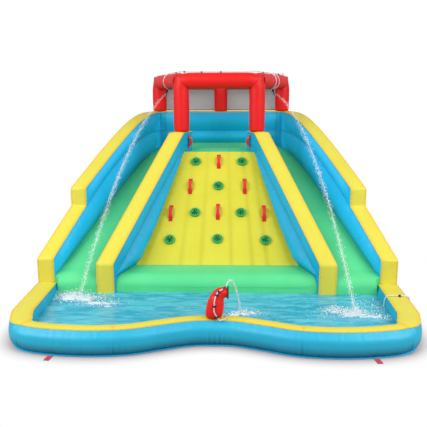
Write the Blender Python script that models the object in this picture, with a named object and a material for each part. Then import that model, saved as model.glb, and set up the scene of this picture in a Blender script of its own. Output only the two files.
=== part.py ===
"""Inflatable water park with two slides, a climbing wall, a splash pool, a water cannon and its blower.

Metres, +Z up. The origin is on the ground, on the centre line, below the front of the landing cushion.
+Y runs from the pool to the back wall, and left is -X, as seen from the pool.
"""

import math

import bmesh
import bpy
from mathutils import Matrix, Vector

# Clearances and sheets
GAP = 0.0003  # between pieces that rest against each other
SEAT = 0.0007  # under a piece that sits on a faceted swell
SHEET_T = 0.006  # base sheet under the whole inflatable
SKIN = 0.012  # drawn wall of an air chamber
CAP_T = 0.004  # yellow band at its edges
CAP_CROWN = 0.010  # how much the band swells above its edges

# Splash pool: one bent tube in a double lobed outline
POOL_H = 0.25
POOL_TUBE_W = 0.25
POOL_FOOT_W = POOL_TUBE_W * 0.52  # flat width on the ground
POOL_ARM_X = 1.915  # centre line of the straight side arms
POOL_BAND_ARM = 0.215  # width of the yellow band on the arms
POOL_BAND_FRONT = 0.13  # and along the front
POOL_NOTCH_Y = -1.02  # centre line at the middle of the front
POOL_LOBE_Y = -1.285  # centre line at the two lobes
POOL_LOBE_X = 1.20
POOL_CORNER_Y = -1.14
POOL_CORNER_X = 1.815

# Side walls, each two chambers high, leaning in plan towards the back
WALL_FRONT_Y = 0.02
WALL_BACK_Y = 2.926
WALL_FRONT_X = 2.015  # outer face at the front
WALL_BACK_X = 1.018  # outer face at the back
WALL_W = 0.186  # across, along X
WALL_BULGE = 0.045
LOW_STEP_Z = 0.53  # top of the lower chamber at the front
SEAM_Z = 1.73  # seam between the chambers at the back
STEP_Y = 0.72  # where the upper chamber starts
STEP_Z = 1.21  # top of the upper chamber there
RIM_Z = 2.0  # top of the walls at the back

# Back wall
BACK_WALL_T = 0.20
BACK_PANEL_Z = 0.30  # flat panel low on the back, for the inflation tube

# Slides
SLIDE_FRONT_Y = -0.03
SLIDE_NOSE_R = 0.15
SLIDE_NOSE_Z = 0.30  # top of the rounded lower end
SLIDE_HEAD_Z = 1.47  # edge of the lane beside the platform
SLIDE_HEAD_Y = 2.70
SLIDE_CROWN = 0.045

# Dividing walls between the slides and the climbing wall
DIVIDER_FRONT_Y = -0.03
DIVIDER_BACK_Y = 1.825
DIVIDER_FRONT_X = 1.338  # outer face at the front
DIVIDER_BACK_X = 0.561  # outer face at the back
DIVIDER_W = 0.194
DIVIDER_FRONT_Z = 0.49
DIVIDER_TOP_Z = 1.795
DIVIDER_TOP_Y = 1.60  # where the top levels out to carry the post
DIVIDER_CREASE = 0.17  # seam below the top
DIVIDER_BULGE = 0.09
DIVIDER_TOP_BULGE = 0.03

# Landing cushion, climbing wall and platform
CUSHION_FRONT_Y = 0.0
CUSHION_R = 0.12
CUSHION_Z = 0.33
CUSHION_CROWN = 0.012
CLIMB_FRONT_Y = 0.416
CLIMB_FOOT_Z = 0.349
CLIMB_CROWN = 0.03
PLATFORM_FRONT_Y = 1.60
PLATFORM_Z = 1.55
PLATFORM_HALF_W = 0.60
PLATFORM_CROWN = 0.02
EDGE_CLEAR = 0.010  # a neighbour's swell starts this far above a lane's edge
STEP_L = 0.001  # length of a step in a piece's plan

# Red frame on the tower
TUBE_R = 0.104
POST_X = 0.50
POST_Y = 1.72
FRONT_BEAM_Z = 2.468
REAR_POST_X = 0.91
REAR_POST_Y = 2.83
REAR_BEAM_Z = 2.43
TUBE_SIDES = 16
MITRE_BACK = 0.02  # how far the mitres reach along the tubes, past the tube's radius
MITRE_SOFT = 0.86  # how much of a sharp mitre's outer corner is left
NET_T = 0.004
NET_COLUMNS = 14
NET_ROWS = 3
CORD_W = 0.012

# Holds and handles on the climbing wall, by row: height along the slope and distances from the middle
HOLD_D = 0.13
HOLD_H = 0.035
HOLD_ROWS = ((0.33, (-0.58, 0.0, 0.58)), (0.707, (-0.285, 0.285)), (1.103, (0.0,)), (1.511, (-0.30, 0.30)))
STRAP_W = 0.045
STRAP_L = 0.235
STRAP_T = 0.004
STRAP_RISE = 0.042
STRAP_END = 0.035  # stitched length at each end
STRAP_ROWS = ((0.712, (-0.585, 0.0, 0.57)), (1.108, (-0.358, 0.334)), (1.503, (0.0,)))
ENTRY_STRAP_L = 0.17
ENTRY_STRAP_Z = 1.672

# Water cannon on the front band
CANNON_X = 0.0
CANNON_BASE_R = 0.070
CANNON_BELLY_R = 0.086
CANNON_MOUTH_R = 0.052
CANNON_RISE = 0.246  # base to the axis of the mouth
CANNON_REACH = 0.135
RING_T = 0.012
RING_R = 0.059

# Hoses
HOSE_R = 0.006
HOSE_CLEAR = 0.002
TEE_R = 0.011
TEE_X = 1.06
TEE_Y = 3.03
TEE_Z = 0.05

# Sprayers under the side beams
SPRAY_Y = 2.25
SPRAY_ANGLE = math.radians(-70)  # round the beam, from its outer side
SPRAY_BLOCK = (0.024, 0.030, 0.018)
SPRAY_EAR_T = 0.003
SPRAY_EAR_L = 0.026
SPRAY_PIN_R = 0.0025
SPRAY_BORE = 0.0035
SPRAY_NOZZLE_R = 0.009
SPRAY_NOZZLE_L = 0.060
HOSE_LEAD = 0.18  # from a sprayer or a post to where its hose lies straight along the beam

# Blower
BLOWER_X = -0.45
BLOWER_R = 0.165
BLOWER_HALF = 0.065  # half depth of the housing
BLOWER_WALL = 0.004
BLOWER_FLANGE_T = 0.012
BLOWER_FOOT_H = 0.045
BLOWER_DUCT_L = 0.235  # from the axis to the end of the duct
BLOWER_DUCT_TOP = 0.058  # below the axis
LUG_H = 0.012
LUG_COUNT = 7
OUTLET_R = 0.045
COLLAR_R = 0.056
COLLAR_L = 0.050
INTAKE_R = 0.052
GRILLE_R = 0.062
GRILLE_T = 0.003
GRILLE_HOLE_R = 0.0045
GRILLE_PITCH = 0.0125
GRILLE_RINGS = 3
IMPELLER_R = 0.115
IMPELLER_L = 0.050
BLADES = 8
MOTOR_R = 0.050
MOTOR_L = 0.075
SHAFT_R = 0.006
SHAFT_CLEAR = 0.0006
SWITCH_SIZE = (0.009, 0.022, 0.014)
TUBE_L = 0.45  # free length of the inflation tube
TUBE_T = 0.004

FLOOR_Z = SHEET_T + GAP
CAP_TOP = GAP + CAP_T + CAP_CROWN
DUCT_Z = -(BLOWER_R + BLOWER_DUCT_TOP) / 2
BLOWER_Z = BLOWER_R + BLOWER_FOOT_H
BLOWER_Y = WALL_BACK_Y + GAP + TUBE_L + COLLAR_L + BLOWER_DUCT_L


def material(name, colour, roughness, metallic=0.0):
    made = bpy.data.materials.new(name)
    made.use_nodes = True
    shader = made.node_tree.nodes["Principled BSDF"]
    shader.inputs["Base Color"].default_value = (*colour, 1.0)
    shader.inputs["Roughness"].default_value = roughness
    shader.inputs["Metallic"].default_value = metallic
    return made


def finish(name, mesh, mat, smooth=True, sharp=35.0):
    """Makes the object of a bmesh, with its faces turned outwards."""
    bmesh.ops.recalc_face_normals(mesh, faces=mesh.faces)
    rim = [v.co for v in mesh.verts if v.is_boundary]
    seen_from = sum(rim, Vector()) / len(rim) if rim else Vector()
    if sum(f.normal.dot(f.calc_center_median() - seen_from) * f.calc_area() for f in mesh.faces) < 0:
        bmesh.ops.reverse_faces(mesh, faces=mesh.faces)
    data = bpy.data.meshes.new(name)
    mesh.to_mesh(data)
    mesh.free()
    data.materials.append(mat)
    if smooth:
        data.shade_smooth()
        data.set_sharp_from_angle(angle=math.radians(sharp))
    made = bpy.data.objects.new(name, data)
    bpy.context.scene.collection.objects.link(made)
    return made


def loft(name, rings, mat, ring_closed=True, capped=True, looped=False, smooth=True, sharp=35.0, split=False):
    """Faces between rings of points. A looped loft joins its last ring to its first.

    A split loft has its quads cut along the same diagonals each time, for a piece with a cutter of its shape.
    """
    mesh = bmesh.new()
    loops = [[mesh.verts.new(point) for point in ring] for ring in rings]
    pairs = list(zip(loops, loops[1:]))
    if looped:
        pairs.append((loops[-1], loops[0]))
    for low, high in pairs:
        for i in range(len(low) if ring_closed else len(low) - 1):
            j = (i + 1) % len(low)
            mesh.faces.new((low[i], low[j], high[j], high[i]))
    if capped and not looped:
        mesh.faces.new(loops[0])
        mesh.faces.new(loops[-1])
    if split:
        bmesh.ops.triangulate(mesh, faces=[f for f in mesh.faces if len(f.verts) == 4], quad_method="FIXED")
    return finish(name, mesh, mat, smooth, sharp)


def chamber(name, rings, mat):
    """An air chamber: a skin of one thickness, open underneath where it stands on the base sheet."""
    made = loft(name, rings, mat, ring_closed=False)
    skin = made.modifiers.new("skin", "SOLIDIFY")
    skin.thickness = SKIN
    skin.offset = -1.0
    skin.use_even_offset = True
    return made


def shell(name, rings, inside, mat):
    """An air chamber from its rings and the matching rings of its inside, for one whose ends are flat."""
    mesh = bmesh.new()
    outer = [[mesh.verts.new(point) for point in ring] for ring in rings]
    inner = [[mesh.verts.new(point) for point in ring] for ring in inside]
    for loops in (outer, inner):
        for a, b in zip(loops, loops[1:]):
            for k in range(len(a) - 1):
                mesh.faces.new((a[k], a[k + 1], b[k + 1], b[k]))
        mesh.faces.new(loops[0])
        mesh.faces.new(loops[-1])
    for a, b, c, d in zip(outer, outer[1:], inner, inner[1:]):
        for k in (0, -1):
            mesh.faces.new((a[k], b[k], d[k], c[k]))
    for k in (0, -1):
        mesh.faces.new((outer[k][0], outer[k][-1], inner[k][-1], inner[k][0]))
    return finish(name, mesh, mat)


def hidden_cutter(made):
    made.hide_render = True
    made.display_type = "WIRE"
    return made


def boolean(made, other, operation):
    change = made.modifiers.new(operation.lower(), "BOOLEAN")
    change.operation = operation
    change.object = other
    change.solver = "EXACT"
    hidden_cutter(other)


def mix(a, b, t):
    return a + (b - a) * t


def ease(t):
    t = min(1.0, max(0.0, t))
    return t * t * (3 - 2 * t)


def spread(low, high, count, ends=0.0):
    """Stations from low to high, with one more close to each end when ends is given."""
    inner = [mix(low, high, k / count) for k in range(count + 1)]
    if ends:
        inner[1:1] = [low + ends]
        inner[-1:-1] = [high - ends]
    return inner


def level_curve(y, start, slope, reach, end, ease_in):
    """Height at y of a curve that leaves start at a slope and arrives level at end."""
    (y0, z0), (y1, z1) = start, end
    ys = (y0, y0 + reach, y1 - ease_in, y1)
    zs = (z0, z0 + reach * slope, z1, z1)
    if y >= y1:
        return z1
    low, high = 0.0, 1.0
    for _ in range(30):
        t = (low + high) / 2
        weights = ((1 - t) ** 3, 3 * t * (1 - t) ** 2, 3 * t * t * (1 - t), t**3)
        if sum(w * v for w, v in zip(weights, ys)) < y:
            low = t
        else:
            high = t
    return sum(w * v for w, v in zip(weights, zs))


def wall_outer_x(y):
    return mix(WALL_FRONT_X, WALL_BACK_X, (y - WALL_FRONT_Y) / (WALL_BACK_Y - WALL_FRONT_Y))


def wall_inner_x(y):
    return wall_outer_x(y) - WALL_W


def divider_outer_x(y):
    return mix(DIVIDER_FRONT_X, DIVIDER_BACK_X, (y - DIVIDER_FRONT_Y) / (DIVIDER_BACK_Y - DIVIDER_FRONT_Y))


def divider_inner_x(y):
    return divider_outer_x(y) - DIVIDER_W


BACK_FRONT_Y = WALL_BACK_Y - BACK_WALL_T


def seam_z(y):
    return level_curve(y, (WALL_FRONT_Y, LOW_STEP_Z), 0.68, 0.84, (BACK_FRONT_Y - 0.12, SEAM_Z), 0.85)


def rim_z(y):
    return level_curve(y, (STEP_Y, STEP_Z), 0.54, 1.05, (BACK_FRONT_Y - 0.06, RIM_Z), 0.45)


UPPER_YS = sorted([*spread(STEP_Y, BACK_FRONT_Y - 0.06, 6, 0.05), BACK_FRONT_Y, WALL_BACK_Y - 0.05, WALL_BACK_Y])
LOWER_YS = spread(WALL_FRONT_Y, STEP_Y, 3)[:-1] + UPPER_YS


def slide_z(y):
    """Edge of a slide's lane, before its lower end is rounded."""
    return level_curve(max(y, 0.0), (0.0, SLIDE_NOSE_Z), 0.5, 1.6, (SLIDE_HEAD_Y, SLIDE_HEAD_Z), 0.5)


def beside_slide(y):
    """Height where a wall's swell may start beside a slide."""
    return slide_z(max(y, SLIDE_FRONT_Y + SLIDE_NOSE_R)) + EDGE_CLEAR


def climb_z(y):
    """Edge of the climbing wall, and of the landing cushion in front of it."""
    if y < CLIMB_FRONT_Y:
        return mix(CUSHION_Z, CLIMB_FOOT_Z, max(0.0, y) / CLIMB_FRONT_Y)
    t = (y - CLIMB_FRONT_Y) / (PLATFORM_FRONT_Y - CLIMB_FRONT_Y)
    return min(PLATFORM_Z, mix(CLIMB_FOOT_Z, PLATFORM_Z, t))


def divider_z(y):
    t = (y - DIVIDER_FRONT_Y) / (DIVIDER_TOP_Y - DIVIDER_FRONT_Y)
    return min(DIVIDER_TOP_Z, mix(DIVIDER_FRONT_Z, DIVIDER_TOP_Z, t))


def face_profile(x, out, segments):
    """Points up one face of a wall: each segment is low, high, swell and its number of steps."""
    points = []
    for low, high, swell, steps in segments:
        for k in range(steps):
            u = k / steps
            points.append((x + out * min(swell, 0.35 * (high - low)) * math.sin(math.pi * u), mix(low, high, u)))
    points.append((x, segments[-1][1]))
    return points


def wall_ring(y, side, outer_x, inner_x, outer, inner):
    """One station across a wall, up its outer face and down its inner face."""
    up = face_profile(outer_x, 1, outer)
    down = face_profile(inner_x, -1, inner)[::-1]
    return [Vector((side * x, y, z)) for x, z in up + down]


def swell_at(y, low, high, length):
    """Share of a tube's swell that is left near its sewn ends."""
    return min(ease((y - low) / length + 0.15), ease((high - y) / length))


def lane(y_list, low_x, high_x, top, crown, side=1, across=8):
    """Rings of a chamber with flat sides, whose top swells between its edges."""
    rings = []
    for y in y_list:
        a, b = low_x(y), high_x(y)
        ring = [Vector((side * a, y, FLOOR_Z))]
        for k in range(across + 1):
            u = 2 * k / across - 1
            ring.append(Vector((side * mix(a, b, k / across), y, top(y) + crown(y) * (1 - u * u))))
        ring.append(Vector((side * b, y, FLOOR_Z)))
        rings.append(ring)
    return rings


def strip(name, stations, mat, across=4, crown=CAP_CROWN):
    """A swelling band along stations of inner edge, outer edge and normal, clear of what it covers."""
    rings = []
    for inner, outer, normal in stations:
        ring = [mix(inner, outer, u) + normal * GAP for u in (0.0, 1.0)]
        for k in range(across, -1, -1):
            u = k / across
            lift = CAP_T + crown * (1 - (2 * u - 1) ** 2)
            ring.append(mix(inner, outer, u) + normal * (GAP + lift))
        rings.append(ring)
    return loft(name, rings, mat, smooth=True)


def mitred(points):
    """Plane path of (y, z) points with the outward normal at each, long enough to keep the band's thickness."""
    found = []
    for k, point in enumerate(points):
        before = Vector(point) - Vector(points[k - 1]) if k else None
        after = Vector(points[k + 1]) - Vector(point) if k + 1 < len(points) else None
        turned = [Vector((-d.y, d.x)).normalized() for d in (before, after) if d is not None]
        total = sum(turned, Vector((0.0, 0.0)))
        found.append(total / (total.dot(turned[0])))
    return found


def curve_points(points, steps):
    """Points of a smooth curve through the given ones, each stretch cut into its number of steps."""
    points = [Vector(p) for p in points]
    ends = [2 * points[0] - points[1], *points, 2 * points[-1] - points[-2]]
    found = []
    for k in range(1, len(ends) - 2):
        p0, p1, p2, p3 = ends[k - 1 : k + 3]
        for n in range(steps(k - 1, (p2 - p1).length)):
            t = n / steps(k - 1, (p2 - p1).length)
            bend = (2 * p0 - 5 * p1 + 4 * p2 - p3) * t**2 + (3 * p1 - p0 - 3 * p2 + p3) * t**3
            found.append(0.5 * (2 * p1 + (p2 - p0) * t + bend))
    found.append(points[-1])
    return found


def even_points(points, count):
    """Evenly spaced points of a smooth curve through the given ones."""
    fine = curve_points(points, lambda k, length: 24)
    lengths = [0.0]
    for a, b in zip(fine, fine[1:]):
        lengths.append(lengths[-1] + (b - a).length)
    made = []
    k = 0
    for n in range(count + 1):
        want = lengths[-1] * n / count
        while k + 2 < len(lengths) and lengths[k + 1] < want:
            k += 1
        made.append(mix(fine[k], fine[k + 1], (want - lengths[k]) / (lengths[k + 1] - lengths[k])))
    return made


def hose(name, points, spacing, mat, lowest=lambda place: 0.0):
    """A round hose as a bevelled curve through its route, its centre no lower than what it lies on lets it.

    Its first and last stretches stay straight, so that its ends are square.
    """
    last = len(points) - 2

    def steps(k, length):
        return 1 if k in (0, last) else max(2, math.ceil(length / spacing))

    curve = bpy.data.curves.new(name, "CURVE")
    curve.dimensions = "3D"
    curve.bevel_depth = HOSE_R
    curve.bevel_resolution = 2
    curve.use_fill_caps = True
    spline = curve.splines.new("POLY")
    route = curve_points(points, steps)
    spline.points.add(len(route) - 1)
    for point, place in zip(spline.points, route):
        place.z = max(place.z, lowest(place))
        point.co = (*place, 1.0)
    curve.materials.append(mat)
    made = bpy.data.objects.new(name, curve)
    bpy.context.scene.collection.objects.link(made)
    print(f"{name}: {sum((b - a).length for a, b in zip(route, route[1:])):.2f} m, {len(route)} points")
    return made


def turned(name, profile, place, mat, sides=16, looped=False, sharp=35.0):
    """A round piece from a profile of radius and height, turned about the local Z of its place."""
    rings = []
    for radius, height in profile:
        angles = (2 * math.pi * k / sides for k in range(sides))
        rings.append([Vector((radius * math.cos(a), radius * math.sin(a), height)) for a in angles])
    made = loft(name, rings, mat, looped=looped, sharp=sharp)
    made.matrix_world = place
    return made


def box(name, low, high, mat, bevel=0.0):
    mesh = bmesh.new()
    bmesh.ops.create_cube(mesh, size=1.0)
    low, high = Vector(low), Vector(high)
    for v in mesh.verts:
        v.co = Vector((mix(l, h, c + 0.5) for l, h, c in zip(low, high, v.co)))
    if bevel:
        bmesh.ops.bevel(mesh, geom=mesh.edges[:], offset=bevel, segments=1, affect="EDGES")
    return finish(name, mesh, mat, smooth=False)


def frame_at(origin, z_axis, x_hint):
    """A placing matrix from its origin, its Z axis and a direction near its X axis."""
    z = Vector(z_axis).normalized()
    x = (Vector(x_hint) - z * Vector(x_hint).dot(z)).normalized()
    y = z.cross(x)
    return Matrix.Translation(Vector(origin)) @ Matrix((x, y, z)).transposed().to_4x4()


for old in list(bpy.data.objects):
    bpy.data.objects.remove(old, do_unlink=True)

BLUE = material("blue coated fabric", (0.026, 0.456, 0.716), 0.42)
YELLOW = material("yellow coated fabric", (0.871, 0.791, 0.102), 0.45)
GREEN = material("green coated fabric", (0.091, 0.680, 0.262), 0.45)
RED = material("red coated fabric", (0.955, 0.013, 0.013), 0.42)
WEBBING = material("red webbing", (0.905, 0.035, 0.030), 0.75)
NETTING = material("grey netting", (0.352, 0.352, 0.328), 0.8)
SHEET = material("blue base sheet", (0.020, 0.300, 0.520), 0.5)
CLEAR = material("clear hose", (0.75, 0.80, 0.84), 0.15)
BLACK = material("black plastic", (0.010, 0.010, 0.012), 0.4)
YELLOW_PLASTIC = material("yellow plastic", (0.807, 0.716, 0.072), 0.35)
GREEN_PLASTIC = material("green plastic", (0.016, 0.552, 0.102), 0.35)
STEEL = material("motor steel", (0.35, 0.35, 0.36), 0.35, 0.9)

SIDES = (("left", -1), ("right", 1))


# Pool
def pool_path(count):
    half = (
        (0.0, POOL_NOTCH_Y),
        (0.22, POOL_NOTCH_Y - 0.012),
        (0.50, mix(POOL_NOTCH_Y, POOL_LOBE_Y, 0.42)),
        (0.82, mix(POOL_NOTCH_Y, POOL_LOBE_Y, 0.87)),
        (POOL_LOBE_X, POOL_LOBE_Y),
        (mix(POOL_LOBE_X, POOL_CORNER_X, 0.62), mix(POOL_LOBE_Y, POOL_CORNER_Y, 0.30)),
        (POOL_CORNER_X, POOL_CORNER_Y),
        (POOL_ARM_X - 0.012, POOL_CORNER_Y + 0.24),
        (POOL_ARM_X, POOL_CORNER_Y + 0.44),
        (POOL_ARM_X, WALL_FRONT_Y - GAP),
    )
    points = [(-x, y, 0.0) for x, y in half[:0:-1]] + [(x, y, 0.0) for x, y in half]
    return even_points(points, count)


def path_frames(path):
    """Each point of a plan path with its outward normal, left to right round the front."""
    found = []
    for k, point in enumerate(path):
        along = (path[min(k + 1, len(path) - 1)] - path[max(k - 1, 0)]).normalized()
        if k in (0, len(path) - 1):
            along = Vector((0.0, 1.0 if k else -1.0, 0.0))
        found.append((point, Vector((along.y, -along.x, 0.0))))
    return found


def band_width(normal):
    """The band is widest where the tube runs straight back."""
    return mix(POOL_BAND_FRONT, POOL_BAND_ARM, ease((abs(normal.x) - 0.45) / 0.5))


POOL_STATIONS = 40
pool = path_frames(pool_path(POOL_STATIONS))
middle_z = FLOOR_Z + (POOL_H - FLOOR_Z) / 2
wall_rings = []
band_stations = []
for point, normal in pool:
    band = band_width(normal)
    half = POOL_TUBE_W / 2
    section = (
        (POOL_FOOT_W / 2, FLOOR_Z),
        (half * 0.88, mix(FLOOR_Z, middle_z, 0.42)),
        (half, middle_z),
        (half * 0.93, mix(middle_z, POOL_H, 0.55)),
        (band / 2, POOL_H),
    )
    outline = [(s, z) for s, z in section] + [(-s, z) for s, z in section[::-1]]
    wall_rings.append([point + normal * s + Vector((0, 0, z)) for s, z in outline])
    top = point + Vector((0, 0, POOL_H))
    band_stations.append((top - normal * band / 2, top + normal * band / 2, Vector((0, 0, 1))))
loft("pool_wall", wall_rings, BLUE)
strip("pool_band", band_stations, YELLOW)

# Base sheet with its anchor tabs, inside the foot of every chamber
SHEET_IN = 0.010
TAB_W = 0.05
TAB_REACH = 0.075  # how far a tab shows beyond the swell beside it
PATCH_T = 0.0015  # webbing sewn on a tab's end
PATCH_IN = 0.003  # between the webbing and the tab's edges
PATCH_START = 0.028  # from the swell to the webbing, so that the hose lies on the tab alone
SIDE_TAB_AT = 0.45  # share of a side wall's length
BACK_TAB_IN = 0.12
POOL_TAB_X = 1.5
SIDE_TAB_Y = mix(WALL_FRONT_Y, WALL_BACK_Y - SHEET_IN, SIDE_TAB_AT)


def sheet_edge():
    """Points of the base sheet's edge, each with its outward normal and, for a tab, how much swell it clears."""
    line = [(p + n * (POOL_FOOT_W / 2 - SHEET_IN), n, 0.0) for p, n in pool[:-1]]
    for x in (-POOL_TAB_X, POOL_TAB_X):
        k = min(range(len(line)), key=lambda n: (line[n][0] - Vector((x, POOL_LOBE_Y, 0.0))).length)
        line[k] = (*line[k][:2], (POOL_TUBE_W - POOL_FOOT_W) / 2 + SHEET_IN)
    lean = Vector((WALL_BACK_Y - WALL_FRONT_Y, WALL_FRONT_X - WALL_BACK_X, 0.0)).normalized()
    back_y = WALL_BACK_Y - SHEET_IN
    side = []
    for y in (WALL_FRONT_Y, SIDE_TAB_Y, back_y):
        place = Vector((wall_outer_x(y) - SHEET_IN, y, 0.0))
        side.append((place, lean, WALL_BULGE + SHEET_IN if y == SIDE_TAB_Y else 0.0))
    side.append((Vector((WALL_BACK_X - BACK_TAB_IN, back_y, 0.0)), Vector((0.0, 1.0, 0.0)), WALL_BULGE + SHEET_IN))
    mirrored = [(Vector((-p.x, p.y, p.z)), Vector((-n.x, n.y, n.z)), tab) for p, n, tab in side[::-1]]
    return line + side + mirrored


def sheet_outline():
    found = []
    for point, normal, tab in sheet_edge():
        if not tab:
            found.append(point)
            continue
        along = Vector((-normal.y, normal.x, 0.0))
        for way, far in ((-1, 0), (-1, 1), (1, 1), (1, 0)):
            found.append(point + along * way * TAB_W / 2 + normal * far * (tab + TAB_REACH))
    return found


sheet = bmesh.new()
flat = sheet.faces.new([sheet.verts.new(p) for p in sheet_outline()])
raised = bmesh.ops.extrude_face_region(sheet, geom=[flat])
bmesh.ops.translate(sheet, vec=(0, 0, SHEET_T), verts=[v for v in raised["geom"] if isinstance(v, bmesh.types.BMVert)])
base_sheet = finish("base_sheet", sheet, SHEET, smooth=False)
for n, (point, normal, tab) in enumerate(place for place in sheet_edge() if place[2]):
    patch = box(
        f"tab_patch_{n}",
        (tab + PATCH_START, PATCH_IN - TAB_W / 2, SHEET_T / 2),
        (tab + TAB_REACH - PATCH_IN, TAB_W / 2 - PATCH_IN, SHEET_T + PATCH_T),
        SHEET,
    )
    patch.matrix_world = frame_at(point, (0, 0, 1), normal)
    boolean(base_sheet, patch, "UNION")

# Side walls
for label, side in SIDES:
    rings = []
    for y in LOWER_YS:
        top = seam_z(y)
        lane_z = beside_slide(y)
        out = WALL_BULGE * swell_at(y, WALL_FRONT_Y, WALL_BACK_Y, 0.3)
        into = WALL_BULGE * swell_at(y, WALL_FRONT_Y, BACK_FRONT_Y - 0.06, 0.3)
        rings.append(
            wall_ring(
                y,
                side,
                wall_outer_x(y),
                wall_inner_x(y),
                ((FLOOR_Z, lane_z, out, 3), (lane_z, top, out, 3)),
                ((FLOOR_Z, lane_z, 0.0, 1), (lane_z, top, into, 3)),
            )
        )
    chamber(f"side_wall_lower_{label}", rings, BLUE)
    rings = []
    for y in UPPER_YS:
        low, top = seam_z(max(y, STEP_Y + 1.5 * SKIN)) + GAP, rim_z(y)
        out = WALL_BULGE * swell_at(y, STEP_Y, WALL_BACK_Y, 0.25)
        into = WALL_BULGE * swell_at(y, STEP_Y, BACK_FRONT_Y - 0.06, 0.25)
        rings.append(wall_ring(y, side, wall_outer_x(y), wall_inner_x(y), ((low, top, out, 3),), ((low, top, into, 3),)))
    chamber(f"side_wall_upper_{label}", rings, BLUE)

# Back wall between the side walls
rings = []
BACK_HALVES = 4
for k in range(-BACK_HALVES, BACK_HALVES + 1):
    u = k / BACK_HALVES
    swell = 0.05 * (1 - abs(u) ** 3)
    front = face_profile(
        0.0,
        1,
        ((FLOOR_Z, PLATFORM_Z, 0.0, 1), (PLATFORM_Z, SEAM_Z, swell, 3), (SEAM_Z, RIM_Z, swell, 3)),
    )
    rear = face_profile(
        0.0,
        1,
        (
            (FLOOR_Z, BACK_PANEL_Z, 0.0, 1),
            (BACK_PANEL_Z, 1.02, swell, 3),
            (1.02, SEAM_Z, swell, 3),
            (SEAM_Z, RIM_Z, swell, 3),
        ),
    )
    reach = [(BACK_FRONT_Y - d, z) for d, z in front] + [(WALL_BACK_Y + d, z) for d, z in rear[::-1]]
    rings.append([Vector((u * (wall_inner_x(min(y, WALL_BACK_Y)) - GAP), y, z)) for y, z in reach])
chamber("back_wall", rings, BLUE)

# Slides
for label, side in SIDES:

    def slide_in(y):
        return (divider_outer_x(y) if y < DIVIDER_BACK_Y - STEP_L else PLATFORM_HALF_W) + GAP

    def slide_out(y):
        beside_pool = y < WALL_FRONT_Y + STEP_L
        return (POOL_ARM_X - POOL_TUBE_W / 2 if beside_pool else wall_inner_x(y)) - GAP

    def slide_top(y):
        """The lower end rounds down to the pool."""
        back = SLIDE_FRONT_Y + SLIDE_NOSE_R
        if y >= back:
            return slide_z(y)
        down = 1 - math.sqrt(max(0.0, 1 - ((back - y) / SLIDE_NOSE_R) ** 2))
        return slide_z(back) - SLIDE_NOSE_R * down

    nose = [SLIDE_FRONT_Y + SLIDE_NOSE_R * (1 - math.sin(math.radians(a))) for a in (90, 66, 42)]
    steps = [WALL_FRONT_Y + GAP, WALL_FRONT_Y + GAP + STEP_L]
    ys = sorted([*nose, *steps, SLIDE_FRONT_Y + SLIDE_NOSE_R])
    ys += spread(0.30, DIVIDER_BACK_Y - 2 * STEP_L, 4) + spread(DIVIDER_BACK_Y - STEP_L / 2, BACK_FRONT_Y - GAP, 3)
    chamber(
        f"slide_{label}",
        lane(ys, slide_in, slide_out, slide_top, lambda y: SLIDE_CROWN * ease((y - SLIDE_FRONT_Y) / 0.3), side, 6),
        GREEN,
    )

# Dividing walls, which carry the front posts
for label, side in SIDES:
    rings = []
    for y in spread(DIVIDER_FRONT_Y, DIVIDER_TOP_Y, 7, 0.05) + [DIVIDER_BACK_Y]:
        top = divider_z(y)
        lane_z = beside_slide(y)
        climb = climb_z(y) + EDGE_CLEAR
        crease = max(top - DIVIDER_CREASE, climb + EDGE_CLEAR, lane_z + EDGE_CLEAR)
        level = 1 - ease((y - (DIVIDER_TOP_Y - 0.35)) / 0.35)
        start = ease((y - DIVIDER_FRONT_Y) / 0.3)
        low_swell = DIVIDER_BULGE * level * start
        top_swell = DIVIDER_TOP_BULGE * level * start
        rings.append(
            wall_ring(
                y,
                side,
                divider_outer_x(y),
                divider_inner_x(y),
                ((FLOOR_Z, lane_z, 0.0, 1), (lane_z, crease, top_swell, 3), (crease, top, top_swell, 2)),
                ((FLOOR_Z, climb, 0.0, 1), (climb, crease, low_swell, 3), (crease, top, top_swell, 2)),
            )
        )
    chamber(f"divider_wall_{label}", rings, BLUE)
    path = [(DIVIDER_FRONT_Y, FLOOR_Z + 0.01)]
    path += [(y, divider_z(y)) for y in (DIVIDER_FRONT_Y, 0.5, 1.0, DIVIDER_TOP_Y, DIVIDER_BACK_Y)]
    stations = []
    for (y, z), normal in zip(path, mitred(path)):
        inner = Vector((side * divider_inner_x(y), y, z))
        outer = Vector((side * divider_outer_x(y), y, z))
        stations.append((inner, outer, Vector((0, normal.x, normal.y))))
    strip(f"divider_band_{label}", stations, YELLOW)


# Landing cushion, climbing wall and platform
def inner_half(y):
    return divider_inner_x(y) - GAP


def cushion_top(y):
    if y >= CUSHION_FRONT_Y + CUSHION_R:
        return climb_z(y)
    down = 1 - math.sqrt(max(0.0, 1 - ((CUSHION_FRONT_Y + CUSHION_R - y) / CUSHION_R) ** 2))
    return climb_z(y) - CUSHION_R * down


def cushion_swell(y):
    """The cushion swells along its middle and is flat where it meets the climbing wall."""
    return CUSHION_CROWN * ease((y - CUSHION_FRONT_Y) / CUSHION_R) * ease((CLIMB_FRONT_Y - GAP - y) / CUSHION_R)


nose = [CUSHION_FRONT_Y + CUSHION_R * (1 - math.sin(math.radians(a))) for a in (90, 64, 38, 16)]
cushion_ys = nose + [CUSHION_FRONT_Y + CUSHION_R, 0.27, CLIMB_FRONT_Y - GAP]
inside_r = CUSHION_R - SKIN
inside_ys = [mix(CUSHION_FRONT_Y + CUSHION_R, y, inside_r / CUSHION_R) for y in nose]
inside_ys += [CUSHION_FRONT_Y + CUSHION_R, 0.27, CLIMB_FRONT_Y - GAP - SKIN]


def inside_half(y):
    return inner_half(y) - SKIN


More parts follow.
